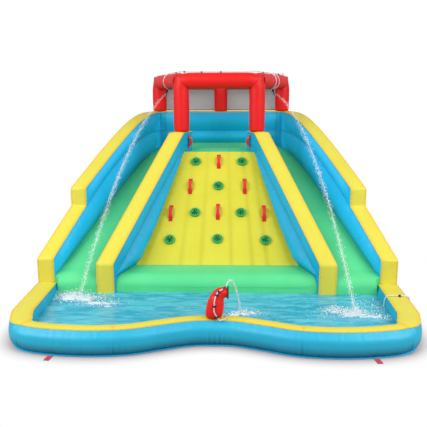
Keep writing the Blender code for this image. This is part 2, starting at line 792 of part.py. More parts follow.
def inside_top(y):
    """The inside of the cushion's top, round the same centre at its front."""
    level = climb_z(y) - SKIN
    past = max(0.0, CUSHION_FRONT_Y + CUSHION_R - y)
    return level - inside_r * (1 - math.sqrt(max(0.0, 1 - (past / inside_r) ** 2)))


shell(
    "landing_cushion",
    lane(cushion_ys, lambda y: -inner_half(y), inner_half, cushion_top, cushion_swell, 1, 6),
    lane(inside_ys, lambda y: -inside_half(y), inside_half, inside_top, cushion_swell, 1, 6),
    GREEN,
)


def climb_swell(y):
    t = 2 * (y - CLIMB_FRONT_Y) / (PLATFORM_FRONT_Y - CLIMB_FRONT_Y) - 1
    return CLIMB_CROWN * (1 - t**4)


CLIMB_ACROSS = 8
climb_ys = spread(CLIMB_FRONT_Y, PLATFORM_FRONT_Y - GAP, 8, 0.03)
climb_rings = lane(climb_ys, lambda y: -inner_half(y), inner_half, climb_z, climb_swell, 1, CLIMB_ACROSS)
chamber("climbing_wall", climb_rings, YELLOW)


def platform_half(y):
    return inner_half(y) if y < DIVIDER_BACK_Y + STEP_L else PLATFORM_HALF_W


platform_ys = [PLATFORM_FRONT_Y, 1.70, DIVIDER_BACK_Y + GAP, DIVIDER_BACK_Y + GAP + STEP_L, 2.12, 2.42, BACK_FRONT_Y - GAP]
platform_mid = (PLATFORM_FRONT_Y + BACK_FRONT_Y) / 2
platform_half_l = (BACK_FRONT_Y - PLATFORM_FRONT_Y) / 2
chamber(
    "platform",
    lane(
        platform_ys,
        lambda y: -platform_half(y),
        platform_half,
        lambda y: PLATFORM_Z - 2 * GAP,
        lambda y: PLATFORM_CROWN * (1 - ((y - platform_mid) / platform_half_l) ** 2),
        1,
        6,
    ),
    GREEN,
)

# Yellow band up the steps, over the walls and along the back
path = [(WALL_FRONT_Y, POOL_H + CAP_TOP + GAP)]
path += [(y, seam_z(y)) for y in LOWER_YS if y <= STEP_Y]
path += [(y, rim_z(y)) for y in UPPER_YS if y < BACK_FRONT_Y]
run = list(zip(path, mitred(path)))
left = []
for (y, z), normal in run:
    left.append((Vector((-wall_inner_x(y), y, z)), Vector((-wall_outer_x(y), y, z)), Vector((0, normal.x, normal.y))))
inner_corner = Vector((-wall_inner_x(BACK_FRONT_Y), BACK_FRONT_Y, RIM_Z))
outer_corner = Vector((-wall_outer_x(WALL_BACK_Y), WALL_BACK_Y, RIM_Z))
left.append((inner_corner, outer_corner, Vector((0, 0, 1))))
right = [
    tuple(Vector((-v.x, v.y, v.z)) for v in (inner, outer, normal)) for inner, outer, normal in reversed(left)
]
middle = [
    (Vector((x, BACK_FRONT_Y, RIM_Z)), Vector((x, WALL_BACK_Y, RIM_Z)), Vector((0, 0, 1))) for x in (-0.4, 0.0, 0.4)
]
strip("rim_band", left + middle + right, YELLOW)


# Red frame
def round_tube(name, points, radius, mat, clear=0.0, sides=TUBE_SIDES):
    """A tube along a path. At a corner its rings meet in a mitre that is softened on its outer side."""
    points = [Vector(p) for p in points]
    bends = [(b - a).cross(c - b).normalized() for a, b, c in zip(points, points[1:], points[2:])]
    level = bends[0] if bends else Vector((1, 0, 0))
    way = (points[1] - points[0]).normalized()
    stations = [(points[0], way, 1.0, 1.0)]
    for before, at, after in zip(points, points[1:], points[2:]):
        way_in, way_out = (at - before).normalized(), (after - at).normalized()
        spread_by = 1 / math.cos(way_in.angle(way_out) / 2)
        back = radius + MITRE_BACK
        stations.append((at - way_in * back, way_in, 1.0, 1.0))
        stations.append((at, (way_in + way_out).normalized(), spread_by, spread_by * MITRE_SOFT))
        stations.append((at + way_out * back, way_out, 1.0, 1.0))
    stations.append((points[-1], (points[-1] - points[-2]).normalized(), 1.0, 1.0))
    rings = []
    for place, along, inner, outer in stations:
        across = level.cross(along).normalized()
        up = along.cross(across)
        ring = []
        for k in range(sides):
            a = 2 * math.pi * (k + 0.5) / sides
            stretch = inner if math.cos(a) > 0 else outer
            width, height = (radius * stretch + clear) * math.cos(a), (radius + clear) * math.sin(a)
            ring.append(place + across * width + up * height)
        rings.append(ring)
    return loft(name, rings, mat, sharp=50.0, split=True)


POST_FOOT_Z = DIVIDER_TOP_Z + CAP_TOP + GAP
REAR_FOOT_Z = RIM_Z + CAP_TOP + GAP


def arch_points(x, y, foot, beam):
    return ((-x, y, foot), (-x, y, beam), (x, y, beam), (x, y, foot))


front_points = arch_points(POST_X, POST_Y, POST_FOOT_Z, FRONT_BEAM_Z)
rear_points = arch_points(REAR_POST_X, REAR_POST_Y, REAR_FOOT_Z, REAR_BEAM_Z)
round_tube("front_arch", front_points, TUBE_R, RED)
round_tube("rear_arch", rear_points, TUBE_R, RED)
front_cutter = hidden_cutter(round_tube("front_arch_space", front_points, TUBE_R, RED, 1.5 * GAP))
rear_cutter = hidden_cutter(round_tube("rear_arch_space", rear_points, TUBE_R, RED, 1.5 * GAP))

for label, side in SIDES:
    ends = (Vector((side * POST_X, POST_Y, FRONT_BEAM_Z)), Vector((side * REAR_POST_X, REAR_POST_Y, REAR_BEAM_Z)))
    beam = round_tube(f"side_beam_{label}", ends, TUBE_R * 0.98, RED)
    boolean(beam, front_cutter, "DIFFERENCE")
    boolean(beam, rear_cutter, "DIFFERENCE")

CENTRE_R = 0.098
centre = round_tube(
    "rear_centre_post",
    ((0.0, REAR_POST_Y, REAR_FOOT_Z), (0.0, REAR_POST_Y, REAR_BEAM_Z)),
    CENTRE_R,
    RED,
)
boolean(centre, rear_cutter, "DIFFERENCE")

# Safety net behind the centre post, sewn to the rear posts and beam
half_side = math.pi / TUBE_SIDES
NET_Y = REAR_POST_Y + CENTRE_R * math.cos(half_side) + GAP
face_end = (TUBE_R * math.sin(half_side), TUBE_R * math.cos(half_side))
next_end = (TUBE_R * math.sin(3 * half_side), TUBE_R * math.cos(3 * half_side))
share = (face_end[1] - (NET_Y - REAR_POST_Y)) / (face_end[1] - next_end[1])
chord = mix(face_end[0], next_end[0], share) + GAP
net_side = REAR_POST_X - chord
net_low = REAR_FOOT_Z + GAP
net_high = REAR_BEAM_Z - chord
net = bmesh.new()
grid = bmesh.ops.create_grid(net, x_segments=NET_COLUMNS, y_segments=NET_ROWS, size=0.5)
for v in net.verts:
    v.co = Vector((v.co.x * 2 * net_side, NET_Y, mix(net_low, net_high, v.co.y + 0.5)))
net.normal_update()
cells = bmesh.ops.inset_individual(net, faces=net.faces[:], thickness=CORD_W / 2)
openings = [f for f in net.faces if f not in set(cells["faces"])]
bmesh.ops.delete(net, geom=openings, context="FACES_ONLY")
safety_net = finish("safety_net", net, NETTING, smooth=False)
thick = safety_net.modifiers.new("cord", "SOLIDIFY")
thick.thickness = NET_T
thick.offset = 1.0 if safety_net.data.polygons[0].normal.y > 0 else -1.0

# Holds: round pockets, domed with a drawn centre
SLOPE = math.atan2(PLATFORM_Z - CLIMB_FOOT_Z, PLATFORM_FRONT_Y - CLIMB_FRONT_Y)


def swell_between(stations, value, at):
    """Value at a place between stations, as the faceted surface has it."""
    k = max(n for n in range(len(stations) - 1) if stations[n] <= at or n == 0)
    return mix(value(stations[k]), value(stations[k + 1]), (at - stations[k]) / (stations[k + 1] - stations[k]))


def climb_surface(along, x):
    y = CLIMB_FRONT_Y + along * math.cos(SLOPE)
    shares = [2 * k / CLIMB_ACROSS - 1 for k in range(CLIMB_ACROSS + 1)]
    share = swell_between(shares, lambda u: 1 - u * u, x / inner_half(y))
    return Vector((x, y, climb_z(y) + swell_between(climb_ys, climb_swell, y) * share))


def climb_frame(along, x, touches):
    """Place on the climbing wall, with Z out of the wall, where a piece with these touching points rests on it."""
    reach = max(abs(up) for up, side in touches)
    half = max(abs(side) for up, side in touches)
    up = climb_surface(along + reach, x) - climb_surface(along - reach, x)
    across = climb_surface(along, x + half) - climb_surface(along, x - half)
    normal = across.cross(up).normalized()
    here = climb_surface(along, x)
    lift = max((climb_surface(along + a, x + b) - here).dot(normal) for a, b in touches)
    return frame_at(here + normal * (lift + SEAT), normal, (1, 0, 0))


hold_profile = (
    (HOLD_D / 2 - 0.012, 0.0),
    (HOLD_D / 2, HOLD_H * 0.35),
    (HOLD_D * 0.42, HOLD_H * 0.85),
    (HOLD_D * 0.27, HOLD_H),
    (HOLD_D * 0.10, HOLD_H * 0.62),
)
hold_angles = [2 * math.pi * k / 12 for k in range(12)]
hold_rim = [(0.0, 0.0)] + [(HOLD_D / 2 * math.sin(a), HOLD_D / 2 * math.cos(a)) for a in hold_angles]
number = 0
for along, places in HOLD_ROWS:
    for x in places:
        number += 1
        place = climb_frame(along, x, hold_rim)
        turned(f"hold_{number}", hold_profile, place, GREEN, sides=12, sharp=60.0)


def strap(name, place, length):
    """A webbing handle: flat stitched ends and a raised grip, along the local Y."""
    half = length / 2
    flat = half - STRAP_END
    line = [(-half, 0.0), (-flat, 0.0), (-flat * 0.62, STRAP_RISE * 0.72), (0.0, STRAP_RISE)]
    line += [(flat * 0.62, STRAP_RISE * 0.72), (flat, 0.0), (half, 0.0)]
    rings = []
    for (along, height), lift in zip(line, mitred(line)):
        wide = STRAP_W / 2 if abs(along) >= flat else STRAP_W * 0.42
        low, high = Vector((0, along, height)), Vector((0, along + lift.x * STRAP_T, height + lift.y * STRAP_T))
        rings.append([low + Vector((-wide, 0, 0)), low + Vector((wide, 0, 0)), high + Vector((wide, 0, 0)), high + Vector((-wide, 0, 0))])
    made = loft(name, rings, WEBBING, smooth=False)
    made.matrix_world = place
    return made


strap_ends = [
    (up * reach, side * STRAP_W / 2)
    for up in (-1, 1)
    for reach in (STRAP_L / 2 - STRAP_END, STRAP_L / 2)
    for side in (-1, 1)
]
number = 0
for along, places in STRAP_ROWS:
    for x in places:
        number += 1
        strap(f"climb_handle_{number}", climb_frame(along, x, strap_ends), STRAP_L)
divider_lean = math.atan2(DIVIDER_FRONT_X - DIVIDER_BACK_X, DIVIDER_BACK_Y - DIVIDER_FRONT_Y)
for label, side in SIDES:
    out = Vector((-side * math.cos(divider_lean), -math.sin(divider_lean), 0.0))
    spot = Vector((side * divider_inner_x(POST_Y), POST_Y, ENTRY_STRAP_Z)) + out * GAP
    grip = strap(f"entry_handle_{label}", frame_at(spot, out, (0, 0, 1)) @ Matrix.Rotation(math.pi / 2, 4, "Z"), ENTRY_STRAP_L)

# Water cannon: a bent air tube that turns on its foot
CANNON_Y = POOL_NOTCH_Y
CANNON_Z = POOL_H + CAP_TOP + GAP
cannon_line = (
    (0.0, 0.0, CANNON_BASE_R, 0),
    (0.05, 0.10, mix(CANNON_BASE_R, CANNON_BELLY_R, 0.7), 2),
    (0.11, 0.33, CANNON_BELLY_R, 6),
    (0.18, 0.56, mix(CANNON_BELLY_R, CANNON_MOUTH_R, 0.12), 13),
    (0.30, 0.78, mix(CANNON_BELLY_R, CANNON_MOUTH_R, 0.32), 28),
    (0.50, 0.955, mix(CANNON_BELLY_R, CANNON_MOUTH_R, 0.60), 54),
    (0.75, 1.01, mix(CANNON_BELLY_R, CANNON_MOUTH_R, 0.85), 78),
    (1.0, 1.0, CANNON_MOUTH_R, 90),
)


def cannon_place(t):
    """Centre, radius and lean of the cannon at a share of its length."""
    spot = t * (len(cannon_line) - 1)
    k = min(int(spot), len(cannon_line) - 2)
    a, b = cannon_line[k], cannon_line[k + 1]
    reach, rise, radius, lean = (mix(p, q, spot - k) for p, q in zip(a, b))
    centre = Vector((CANNON_X + reach * CANNON_REACH, CANNON_Y, CANNON_Z + rise * CANNON_RISE))
    lean = math.radians(lean)
    return centre, radius, Vector((math.sin(lean), 0, math.cos(lean))), Vector((math.cos(lean), 0, -math.sin(lean)))


cannon_axis = bpy.data.objects.new("cannon_axis", None)
cannon_axis.location = (CANNON_X, CANNON_Y, CANNON_Z)
bpy.context.scene.collection.objects.link(cannon_axis)
bpy.context.view_layer.update()


def hang(made, carrier):
    """Parents a piece to its joint's empty without moving it."""
    made.parent = carrier
    made.matrix_parent_inverse = carrier.matrix_world.inverted()


rings = []
for k in range(len(cannon_line)):
    centre_at, radius, along, across = cannon_place(k / (len(cannon_line) - 1))
    ring = []
    for n in range(16):
        a = 2 * math.pi * n / 16
        ring.append(centre_at + across * radius * math.cos(a) + Vector((0, radius * math.sin(a), 0)))
    rings.append(ring)
hang(loft("water_cannon", rings, RED, sharp=60.0), cannon_axis)
mouth, _, along, _ = cannon_place(1.0)
ring_profile = ((RING_R, 0.0), (RING_R, RING_T), (RING_R - 0.014, RING_T), (RING_R - 0.014, 0.0))
hang(
    turned("cannon_mouth_ring", ring_profile, frame_at(mouth + along * GAP, along, (0, 0, 1)), BLACK, looped=True),
    cannon_axis,
)

# The cannon's hose lies along its front, from the foot to the top of the head
off = HOSE_R + HOSE_CLEAR
route = []
for t, angle in ((0.06, -58), (0.16, -70), (0.30, -92), (0.45, -100), (0.60, -112), (0.75, -130), (0.90, -150)):
    at, radius, _, across = cannon_place(t)
    a = math.radians(angle)
    route.append(at + (across * math.cos(a) + Vector((0, math.sin(a), 0))) * (radius * 1.02 + off))
FOOT_ANGLE = math.radians(-57)
foot_r = CANNON_BELLY_R + 3 * off
foot_dir = Vector((math.cos(FOOT_ANGLE), math.sin(FOOT_ANGLE), 0))
foot_mid = Vector((CANNON_X, CANNON_Y, CANNON_Z + HOSE_R + HOSE_CLEAR))
route[0] = foot_mid + foot_dir * (foot_r - 0.012) + Vector((0, 0, 0.002))
route[0:0] = [foot_mid + foot_dir * foot_r, foot_mid + foot_dir * (foot_r - 0.005)]
hang(hose("cannon_hose", route, 0.05, CLEAR), cannon_axis)

# The pool hose runs round the foot, into the pool, along its wall, over the right arm and back to the tee
HOSE_LOW = SHEET_T + HOSE_R + 2 * GAP


def hose_rest(place):
    """Lowest centre of the hose: on the sheet in the pool and over the tab, else on the ground."""
    on_sheet = place.x < POOL_ARM_X and place.y < WALL_FRONT_Y
    over_tab = abs(place.y - SIDE_TAB_Y - TAB_W / 2) < TAB_W * 1.3
    return HOSE_LOW if on_sheet or over_tab else HOSE_R + GAP


inside = POOL_TUBE_W / 2 + 2 * off
route = [foot_mid + foot_dir * (foot_r + d) for d in (0.0015, 0.006, 0.012)]
for angle in (-34, 5, 40, 68):
    a = math.radians(angle)
    route.append(foot_mid + Vector((math.cos(a), math.sin(a), 0)) * (foot_r + 0.022))
for x, depth in ((0.045, 0.80), (0.050, 0.45)):
    route.append(Vector((x, POOL_NOTCH_Y + inside, POOL_H * depth)))
route.append(Vector((0.075, POOL_NOTCH_Y + inside, HOSE_LOW + 0.010)))
for k in range(POOL_STATIONS // 2 + 2, POOL_STATIONS - 6, 2):
    point, normal = pool[k]
    route.append(point - normal * inside + Vector((0, 0, HOSE_LOW)))
CROSS_Y = -0.40
over_arm = (
    (-POOL_TUBE_W / 2 - off - 0.012, HOSE_LOW + 0.02, -0.07),
    (-POOL_TUBE_W / 2 - off - 0.004, POOL_H * 0.5, -0.02),
    (-POOL_TUBE_W / 2 - off, POOL_H * 0.82, 0.0),
    (-POOL_BAND_ARM / 2 - off, POOL_H + CAP_TOP * 0.6, 0.0),
    (-POOL_BAND_ARM / 2 * 0.7, POOL_H + CAP_TOP + off + 0.001, 0.0),
    (0.0, POOL_H + CAP_TOP + off + 0.002, 0.0),
    (POOL_BAND_ARM / 2 * 0.7, POOL_H + CAP_TOP + off + 0.001, 0.0),
    (POOL_BAND_ARM / 2 + off, POOL_H + CAP_TOP * 0.6, 0.0),
    (POOL_TUBE_W / 2 + off, POOL_H * 0.82, 0.0),
    (POOL_TUBE_W / 2 + off + 0.004, POOL_H * 0.5, 0.02),
    (POOL_TUBE_W / 2 + off + 0.002, HOSE_LOW + 0.01, 0.07),
)
for across, z, shift in over_arm:
    route.append(Vector((POOL_ARM_X + across, CROSS_Y + shift, z)))
wall_clear = WALL_BULGE + 2 * off
arm_out = POOL_ARM_X + POOL_TUBE_W / 2 + off + 0.002
for y in (CROSS_Y + 0.2, 0.1, 0.7, SIDE_TAB_Y - 0.12, SIDE_TAB_Y + TAB_W / 2, SIDE_TAB_Y + 0.16, 2.0, 2.5, 2.85):
    beside_arm = y < WALL_FRONT_Y + 0.1
    x = arm_out if beside_arm else min(arm_out, wall_outer_x(y) + wall_clear)
    route.append(Vector((x, y, HOSE_R + GAP)))
for reach in (0.060, 0.040, 0.030 + 2 * GAP):
    route.append(Vector((TEE_X + reach, TEE_Y, TEE_Z)))
hose("pool_hose", route, 0.25, CLEAR, lowest=hose_rest)

# Tee on the ground behind the right corner, with its coupling nut
tee = turned(
    "hose_tee",
    ((TEE_R, -0.030), (TEE_R, 0.030)),
    frame_at((TEE_X, TEE_Y, TEE_Z), (1, 0, 0), (0, 0, 1)),
    BLACK,
    sides=12,
)
stem = turned("tee_stem", ((TEE_R * 0.95, -TEE_Z), (TEE_R * 0.95, 0.035)), Matrix.Translation((TEE_X, TEE_Y, TEE_Z)), BLACK, sides=12)
NUT_L = 0.022
NUT_R = 0.018
spigot = turned(
    "tee_spigot",
    ((TEE_R * 0.8, -0.020), (TEE_R * 0.8, 0.030 + NUT_L + 0.004)),
    frame_at((TEE_X, TEE_Y, TEE_Z), (-1, 0, 0), (0, 0, 1)),
    BLACK,
    sides=12,
)
boolean(tee, stem, "UNION")
boolean(tee, spigot, "UNION")
nut = turned(
    "hose_coupling",
    (
        (NUT_R, 0.0),
        (NUT_R, NUT_L),
        (TEE_R * 0.8 + 0.0012, NUT_L),
        (TEE_R * 0.8 + 0.0012, 0.0),
    ),
    frame_at((TEE_X - 0.030 - 2 * GAP, TEE_Y, TEE_Z), (-1, 0, 0), (0, 0, 1)),
    YELLOW_PLASTIC,
    sides=12,
    looped=True,
    sharp=20.0,
)


# Sprayers and the hoses on the frame
def beam_frame(side):
    """Beam centre at the sprayer, its direction, its outward side and up."""
    front = Vector((side * POST_X, POST_Y, FRONT_BEAM_Z))
    rear = Vector((side * REAR_POST_X, REAR_POST_Y, REAR_BEAM_Z))
    at = mix(front, rear, (SPRAY_Y - POST_Y) / (REAR_POST_Y - POST_Y))
    along = (rear - front).normalized()
    out = along.cross(Vector((0, 0, 1))).normalized() * side
    up = out.cross(along).normalized() * side
    return at, along, out, up if up.z > 0 else -up


beam_off = TUBE_R + HOSE_R + HOSE_CLEAR
spray_points = {}
for label, side in SIDES:
    at, along, out, up = beam_frame(side)
    away = out * math.cos(SPRAY_ANGLE) + up * math.sin(SPRAY_ANGLE)
    width, length, depth = SPRAY_BLOCK
    seat = at + away * (TUBE_R * 0.98 + GAP)
    place = frame_at(seat, away, along)
    mount = box(f"spray_mount_{label}", (-length / 2, -width / 2, 0), (length / 2, width / 2, depth), BLACK)
    mount.matrix_world = place
    pivot = depth + SPRAY_EAR_L * 0.6
    for end in (-1, 1):
        far, near = end * length / 2, end * (length / 2 - SPRAY_EAR_T)
        ear = box(
            f"spray_ear_{label}_{'back' if end > 0 else 'front'}",
            (min(far, near), -width * 0.4, depth - 0.002),
            (max(far, near), width * 0.4, depth + SPRAY_EAR_L),
            BLACK,
        )
        ear.matrix_world = place
        boolean(mount, ear, "UNION")
    pin_place = place @ Matrix.Translation((0, 0, pivot)) @ Matrix.Rotation(math.pi / 2, 4, "Y")
    bore = turned(
        f"spray_bore_{label}",
        ((SPRAY_PIN_R + 0.0005, -length), (SPRAY_PIN_R + 0.0005, length)),
        pin_place,
        BLACK,
        sides=8,
    )
    boolean(mount, bore, "DIFFERENCE")
    barrel_place = place @ Matrix.Translation((0, 0, pivot))
    nozzle = turned(
        f"spray_nozzle_{label}",
        (
            (SPRAY_NOZZLE_R * 0.85, -0.010),
            (SPRAY_NOZZLE_R, 0.0),
            (SPRAY_NOZZLE_R, SPRAY_NOZZLE_L * 0.55),
            (SPRAY_NOZZLE_R * 1.25, SPRAY_NOZZLE_L * 0.75),
            (SPRAY_NOZZLE_R * 1.25, SPRAY_NOZZLE_L),
            (SPRAY_BORE, SPRAY_NOZZLE_L),
            (SPRAY_BORE, SPRAY_NOZZLE_L - 0.012),
        ),
        barrel_place,
        BLACK,
        sides=12,
    )
    pin = turned(
        f"spray_pin_{label}",
        ((SPRAY_PIN_R, -length / 2), (SPRAY_PIN_R, length / 2)),
        pin_place,
        BLACK,
        sides=8,
    )
    boolean(nozzle, pin, "UNION")
    spray_points[side] = (at, along, out, up, seat, away, place)


def round_beam(side, angles, shift):
    """Points of a hose that goes round a side beam beside its sprayer."""
    at, along, out, up, *_ = spray_points[side]
    found = []
    for angle in angles:
        a = math.radians(angle)
        found.append(at + along * shift + (out * math.cos(a) + up * math.sin(a)) * beam_off)
    return found


def mount_port(side, end):
    """Face of the sprayer's block where a hose ends, and the way out of it."""
    _, along, _, _, seat, away, _ = spray_points[side]
    depth = SPRAY_BLOCK[2]
    return seat + away * depth * 0.5 + along * end * (SPRAY_BLOCK[1] / 2 + GAP), along * end


def along_beam(side, y):
    front = Vector((side * POST_X, POST_Y, FRONT_BEAM_Z))
    rear = Vector((side * REAR_POST_X, REAR_POST_Y, REAR_BEAM_Z))
    return mix(front, rear, (y - POST_Y) / (REAR_POST_Y - POST_Y)) + Vector((0, 0, beam_off))


port, way = mount_port(1, 1)
rear_clear = WALL_BACK_Y + 0.05 + off + 0.004
riser = [
    Vector((TEE_X, TEE_Y, TEE_Z + 0.035 + GAP)),
    Vector((TEE_X, TEE_Y, TEE_Z + 0.09)),
    Vector((TEE_X - 0.05, rear_clear, 0.40)),
    Vector((0.97, rear_clear, 0.9)),
    Vector((0.95, rear_clear, 1.4)),
    Vector((0.94, rear_clear, 1.9)),
    Vector((REAR_POST_X + 0.02, REAR_POST_Y + beam_off + 0.012, 2.12)),
    Vector((REAR_POST_X + 0.02, REAR_POST_Y + beam_off + 0.004, 2.35)),
    Vector((REAR_POST_X + 0.015, REAR_POST_Y + beam_off * 0.86, REAR_BEAM_Z + beam_off * 0.78)),
    Vector((REAR_POST_X, REAR_POST_Y - 0.02, REAR_BEAM_Z + beam_off + 0.012)),
    along_beam(1, REAR_POST_Y - 0.15),
    along_beam(1, SPRAY_Y + HOSE_LEAD),
    *round_beam(1, (70, 35, 0, -35), 0.07),
    port + way * 0.028,
    port + way * 0.012,
    port,
]
hose("riser_hose", riser, 0.2, CLEAR)
port, way = mount_port(1, -1)
port_left, way_left = mount_port(-1, -1)
frame_route = [
    port,
    port + way * 0.012,
    port + way * 0.028,
    *round_beam(1, (-35, 0, 35, 70), -0.07),
    along_beam(1, SPRAY_Y - HOSE_LEAD),
    along_beam(1, POST_Y + HOSE_LEAD),
    Vector((POST_X - 0.02, POST_Y + 0.01, FRONT_BEAM_Z + beam_off + 0.004)),
    Vector((POST_X - 0.20, POST_Y - 0.01, FRONT_BEAM_Z + beam_off)),
    Vector((0.0, POST_Y - 0.015, FRONT_BEAM_Z + beam_off + 0.001)),
    Vector((0.20 - POST_X, POST_Y - 0.01, FRONT_BEAM_Z + beam_off)),
    Vector((0.02 - POST_X, POST_Y + 0.01, FRONT_BEAM_Z + beam_off + 0.004)),
    along_beam(-1, POST_Y + HOSE_LEAD),
    along_beam(-1, SPRAY_Y - HOSE_LEAD),
    *round_beam(-1, (70, 35, 0, -35), -0.07),
    port_left + way_left * 0.028,
    port_left + way_left * 0.012,
    port_left,
]
hose("frame_hose", frame_route, 0.2, CLEAR)

# Blower housing: two halves lofted round the intake and the motor, with the air duct towards the back wall
BLOWER_AT = Vector((BLOWER_X, BLOWER_Y, BLOWER_Z))
HOUSING_POINTS = 48


def housing_outline(inset, lugs):
    """Points of (y, z) round the housing: the volute, then the duct's end, from the bottom of the circle."""
    radius = BLOWER_R - inset
    found = []
    turn = 36
    first, last = math.radians(-90), math.radians(188)
    for k in range(turn):
        a = mix(first, last, k / (turn - 1))
        lift = 0.0
        if lugs:
            nearest = min(abs(a - mix(first + 0.5, last - 0.15, n / (LUG_COUNT - 1))) for n in range(LUG_COUNT))
            lift = LUG_H if nearest < 0.07 else 0.0
        found.append(((radius + lift) * math.cos(a), (radius + lift) * math.sin(a)))
    end = BLOWER_DUCT_L - inset
    top = -BLOWER_DUCT_TOP - inset
    for t in (0.5, 1.0):
        found.append((mix(found[turn - 1][0], -end, t), mix(found[turn - 1][1], top, t)))
    for t in (0.25, 0.5, 0.75, 1.0):
        found.append((-end, mix(top, -radius, t)))
    for t in (0.2, 0.4, 0.6, 0.8, 0.9, 0.96):
        found.append((-end * (1 - t), -radius))
    return found


def housing_circle(radius):
    """A round hole whose points match the outline's."""
    return [(radius * math.cos(math.atan2(z, y)), radius * math.sin(math.atan2(z, y))) for y, z in housing_outline(0.0, False)]


def housing_half(name, facing, hole):
    """One half, from its flange at the joint out to its plate and back inside."""
    seat = GAP / 2
    layers = (
        (seat, housing_outline(0.0, True)),
        (BLOWER_FLANGE_T, housing_outline(0.0, True)),
        (BLOWER_FLANGE_T + 0.001, housing_outline(0.004, False)),
        (BLOWER_HALF - 0.022, housing_outline(0.006, False)),
        (BLOWER_HALF - 0.006, housing_outline(0.016, False)),
        (BLOWER_HALF, housing_outline(0.032, False)),
        (BLOWER_HALF, housing_circle(hole)),
        (BLOWER_HALF - BLOWER_WALL, housing_circle(hole)),
        (BLOWER_HALF - BLOWER_WALL, housing_outline(0.034, False)),
        (BLOWER_HALF - 0.024, housing_outline(0.012, False)),
        (seat, housing_outline(0.010, False)),
    )
    rings = [[BLOWER_AT + Vector((facing * x, y, z)) for y, z in outline] for x, outline in layers]
    return loft(name, rings, YELLOW_PLASTIC, looped=True, sharp=40.0)


MOTOR_HOLE = 0.020
front_half = housing_half("blower_housing_front", 1, INTAKE_R)
back_half = housing_half("blower_housing_back", -1, MOTOR_HOLE)
DUCT_AXIS = BLOWER_AT + Vector((0, -BLOWER_DUCT_L, DUCT_Z))
outlet = turned("outlet_bore", ((OUTLET_R, -0.030), (OUTLET_R, 0.002)), frame_at(DUCT_AXIS, (0, -1, 0), (1, 0, 0)), BLACK, sides=20)
boolean(front_half, outlet, "DIFFERENCE")
boolean(back_half, outlet, "DIFFERENCE")
collar_profile = (
    (COLLAR_R, 0.0),
    (COLLAR_R, COLLAR_L - 0.010),
    (COLLAR_R + 0.004, COLLAR_L - 0.010),
    (COLLAR_R + 0.004, COLLAR_L),
    (OUTLET_R, COLLAR_L),
    (OUTLET_R, 0.0),
)
turned(
    "blower_outlet_collar",
    [(r, max(h, 0.0)) for r, h in collar_profile],
    frame_at(DUCT_AXIS + Vector((0, -GAP, 0)), (0, -1, 0), (1, 0, 0)),
    YELLOW_PLASTIC,
    sides=20,
    looped=True,
)
ground = -BLOWER_Z
feet = (
    ("front_foot", -0.205, -0.095, -0.190, -0.110, -BLOWER_R + 0.008),
    ("rear_foot", 0.055, 0.190, 0.085, 0.115, -0.130),
)
for label, low_y, high_y, web_low, web_high, web_top in feet:
    plate = box(
        label + "_plate",
        BLOWER_AT + Vector((-0.085, low_y, ground)),
        BLOWER_AT + Vector((0.085, high_y, ground + 0.008)),
        YELLOW_PLASTIC,
    )
    web = box(
        label + "_web",
        BLOWER_AT + Vector((-0.043, web_low, ground + 0.004)),
        BLOWER_AT + Vector((-0.014, web_high, web_top)),
        YELLOW_PLASTIC,
    )
    boolean(back_half, plate, "UNION")
    boolean(back_half, web, "UNION")

# Intake grille with its rings of holes
grille = turned(
    "blower_grille",
    ((GRILLE_R, 0.0), (GRILLE_R, GRILLE_T * 0.7), (GRILLE_R - 0.004, GRILLE_T)),
    frame_at(BLOWER_AT + Vector((BLOWER_HALF + GAP, 0, 0)), (1, 0, 0), (0, 0, 1)),
    GREEN_PLASTIC,
    sides=24,
)
mesh = bmesh.new()
for i in range(-GRILLE_RINGS, GRILLE_RINGS + 1):
    for j in range(-GRILLE_RINGS, GRILLE_RINGS + 1):
        if abs(i + j) > GRILLE_RINGS:
            continue
        y = GRILLE_PITCH * (i + j / 2)
        z = GRILLE_PITCH * j * math.sqrt(3) / 2
        spot = frame_at(BLOWER_AT + Vector((BLOWER_HALF, y, z)), (1, 0, 0), (0, 0, 1))
        bmesh.ops.create_cone(
            mesh, cap_ends=True, segments=6, radius1=GRILLE_HOLE_R, radius2=GRILLE_HOLE_R, depth=0.02, matrix=spot
        )
holes = finish("grille_holes", mesh, BLACK, smooth=False)
boolean(grille, holes, "DIFFERENCE")

# Impeller on the motor's shaft
impeller_axis = bpy.data.objects.new("impeller_axis", None)
impeller_axis.location = BLOWER_AT
bpy.context.scene.collection.objects.link(impeller_axis)
bpy.context.view_layer.update()
BACK_PLATE_X = -0.030
hub_r = SHAFT_R + SHAFT_CLEAR
star = []
for n in range(BLADES):
    for turn, radius in ((0.0, 0.022), (0.10, 0.022), (0.40, IMPELLER_R), (0.44, IMPELLER_R)):
        a = 2 * math.pi * (n + turn) / BLADES
        star.append((radius * math.cos(a), radius * math.sin(a)))
bore = [(hub_r * y / math.hypot(y, z), hub_r * z / math.hypot(y, z)) for y, z in star]
rings = []
for x, points in ((BACK_PLATE_X, star), (BACK_PLATE_X + IMPELLER_L, star), (BACK_PLATE_X + IMPELLER_L, bore), (BACK_PLATE_X, bore)):
    rings.append([BLOWER_AT + Vector((x, y, z)) for y, z in points])
impeller = loft("blower_impeller", rings, BLACK, looped=True, smooth=False)
plate = turned(
    "impeller_plate",
    ((IMPELLER_R, -0.003), (IMPELLER_R, 0.0015), (hub_r * 1.3, 0.0015), (hub_r * 1.3, -0.003)),
    frame_at(BLOWER_AT + Vector((BACK_PLATE_X, 0, 0)), (1, 0, 0), (0, 0, 1)),
    BLACK,
    sides=24,
    looped=True,
)
boolean(impeller, plate, "UNION")
hang(impeller, impeller_axis)

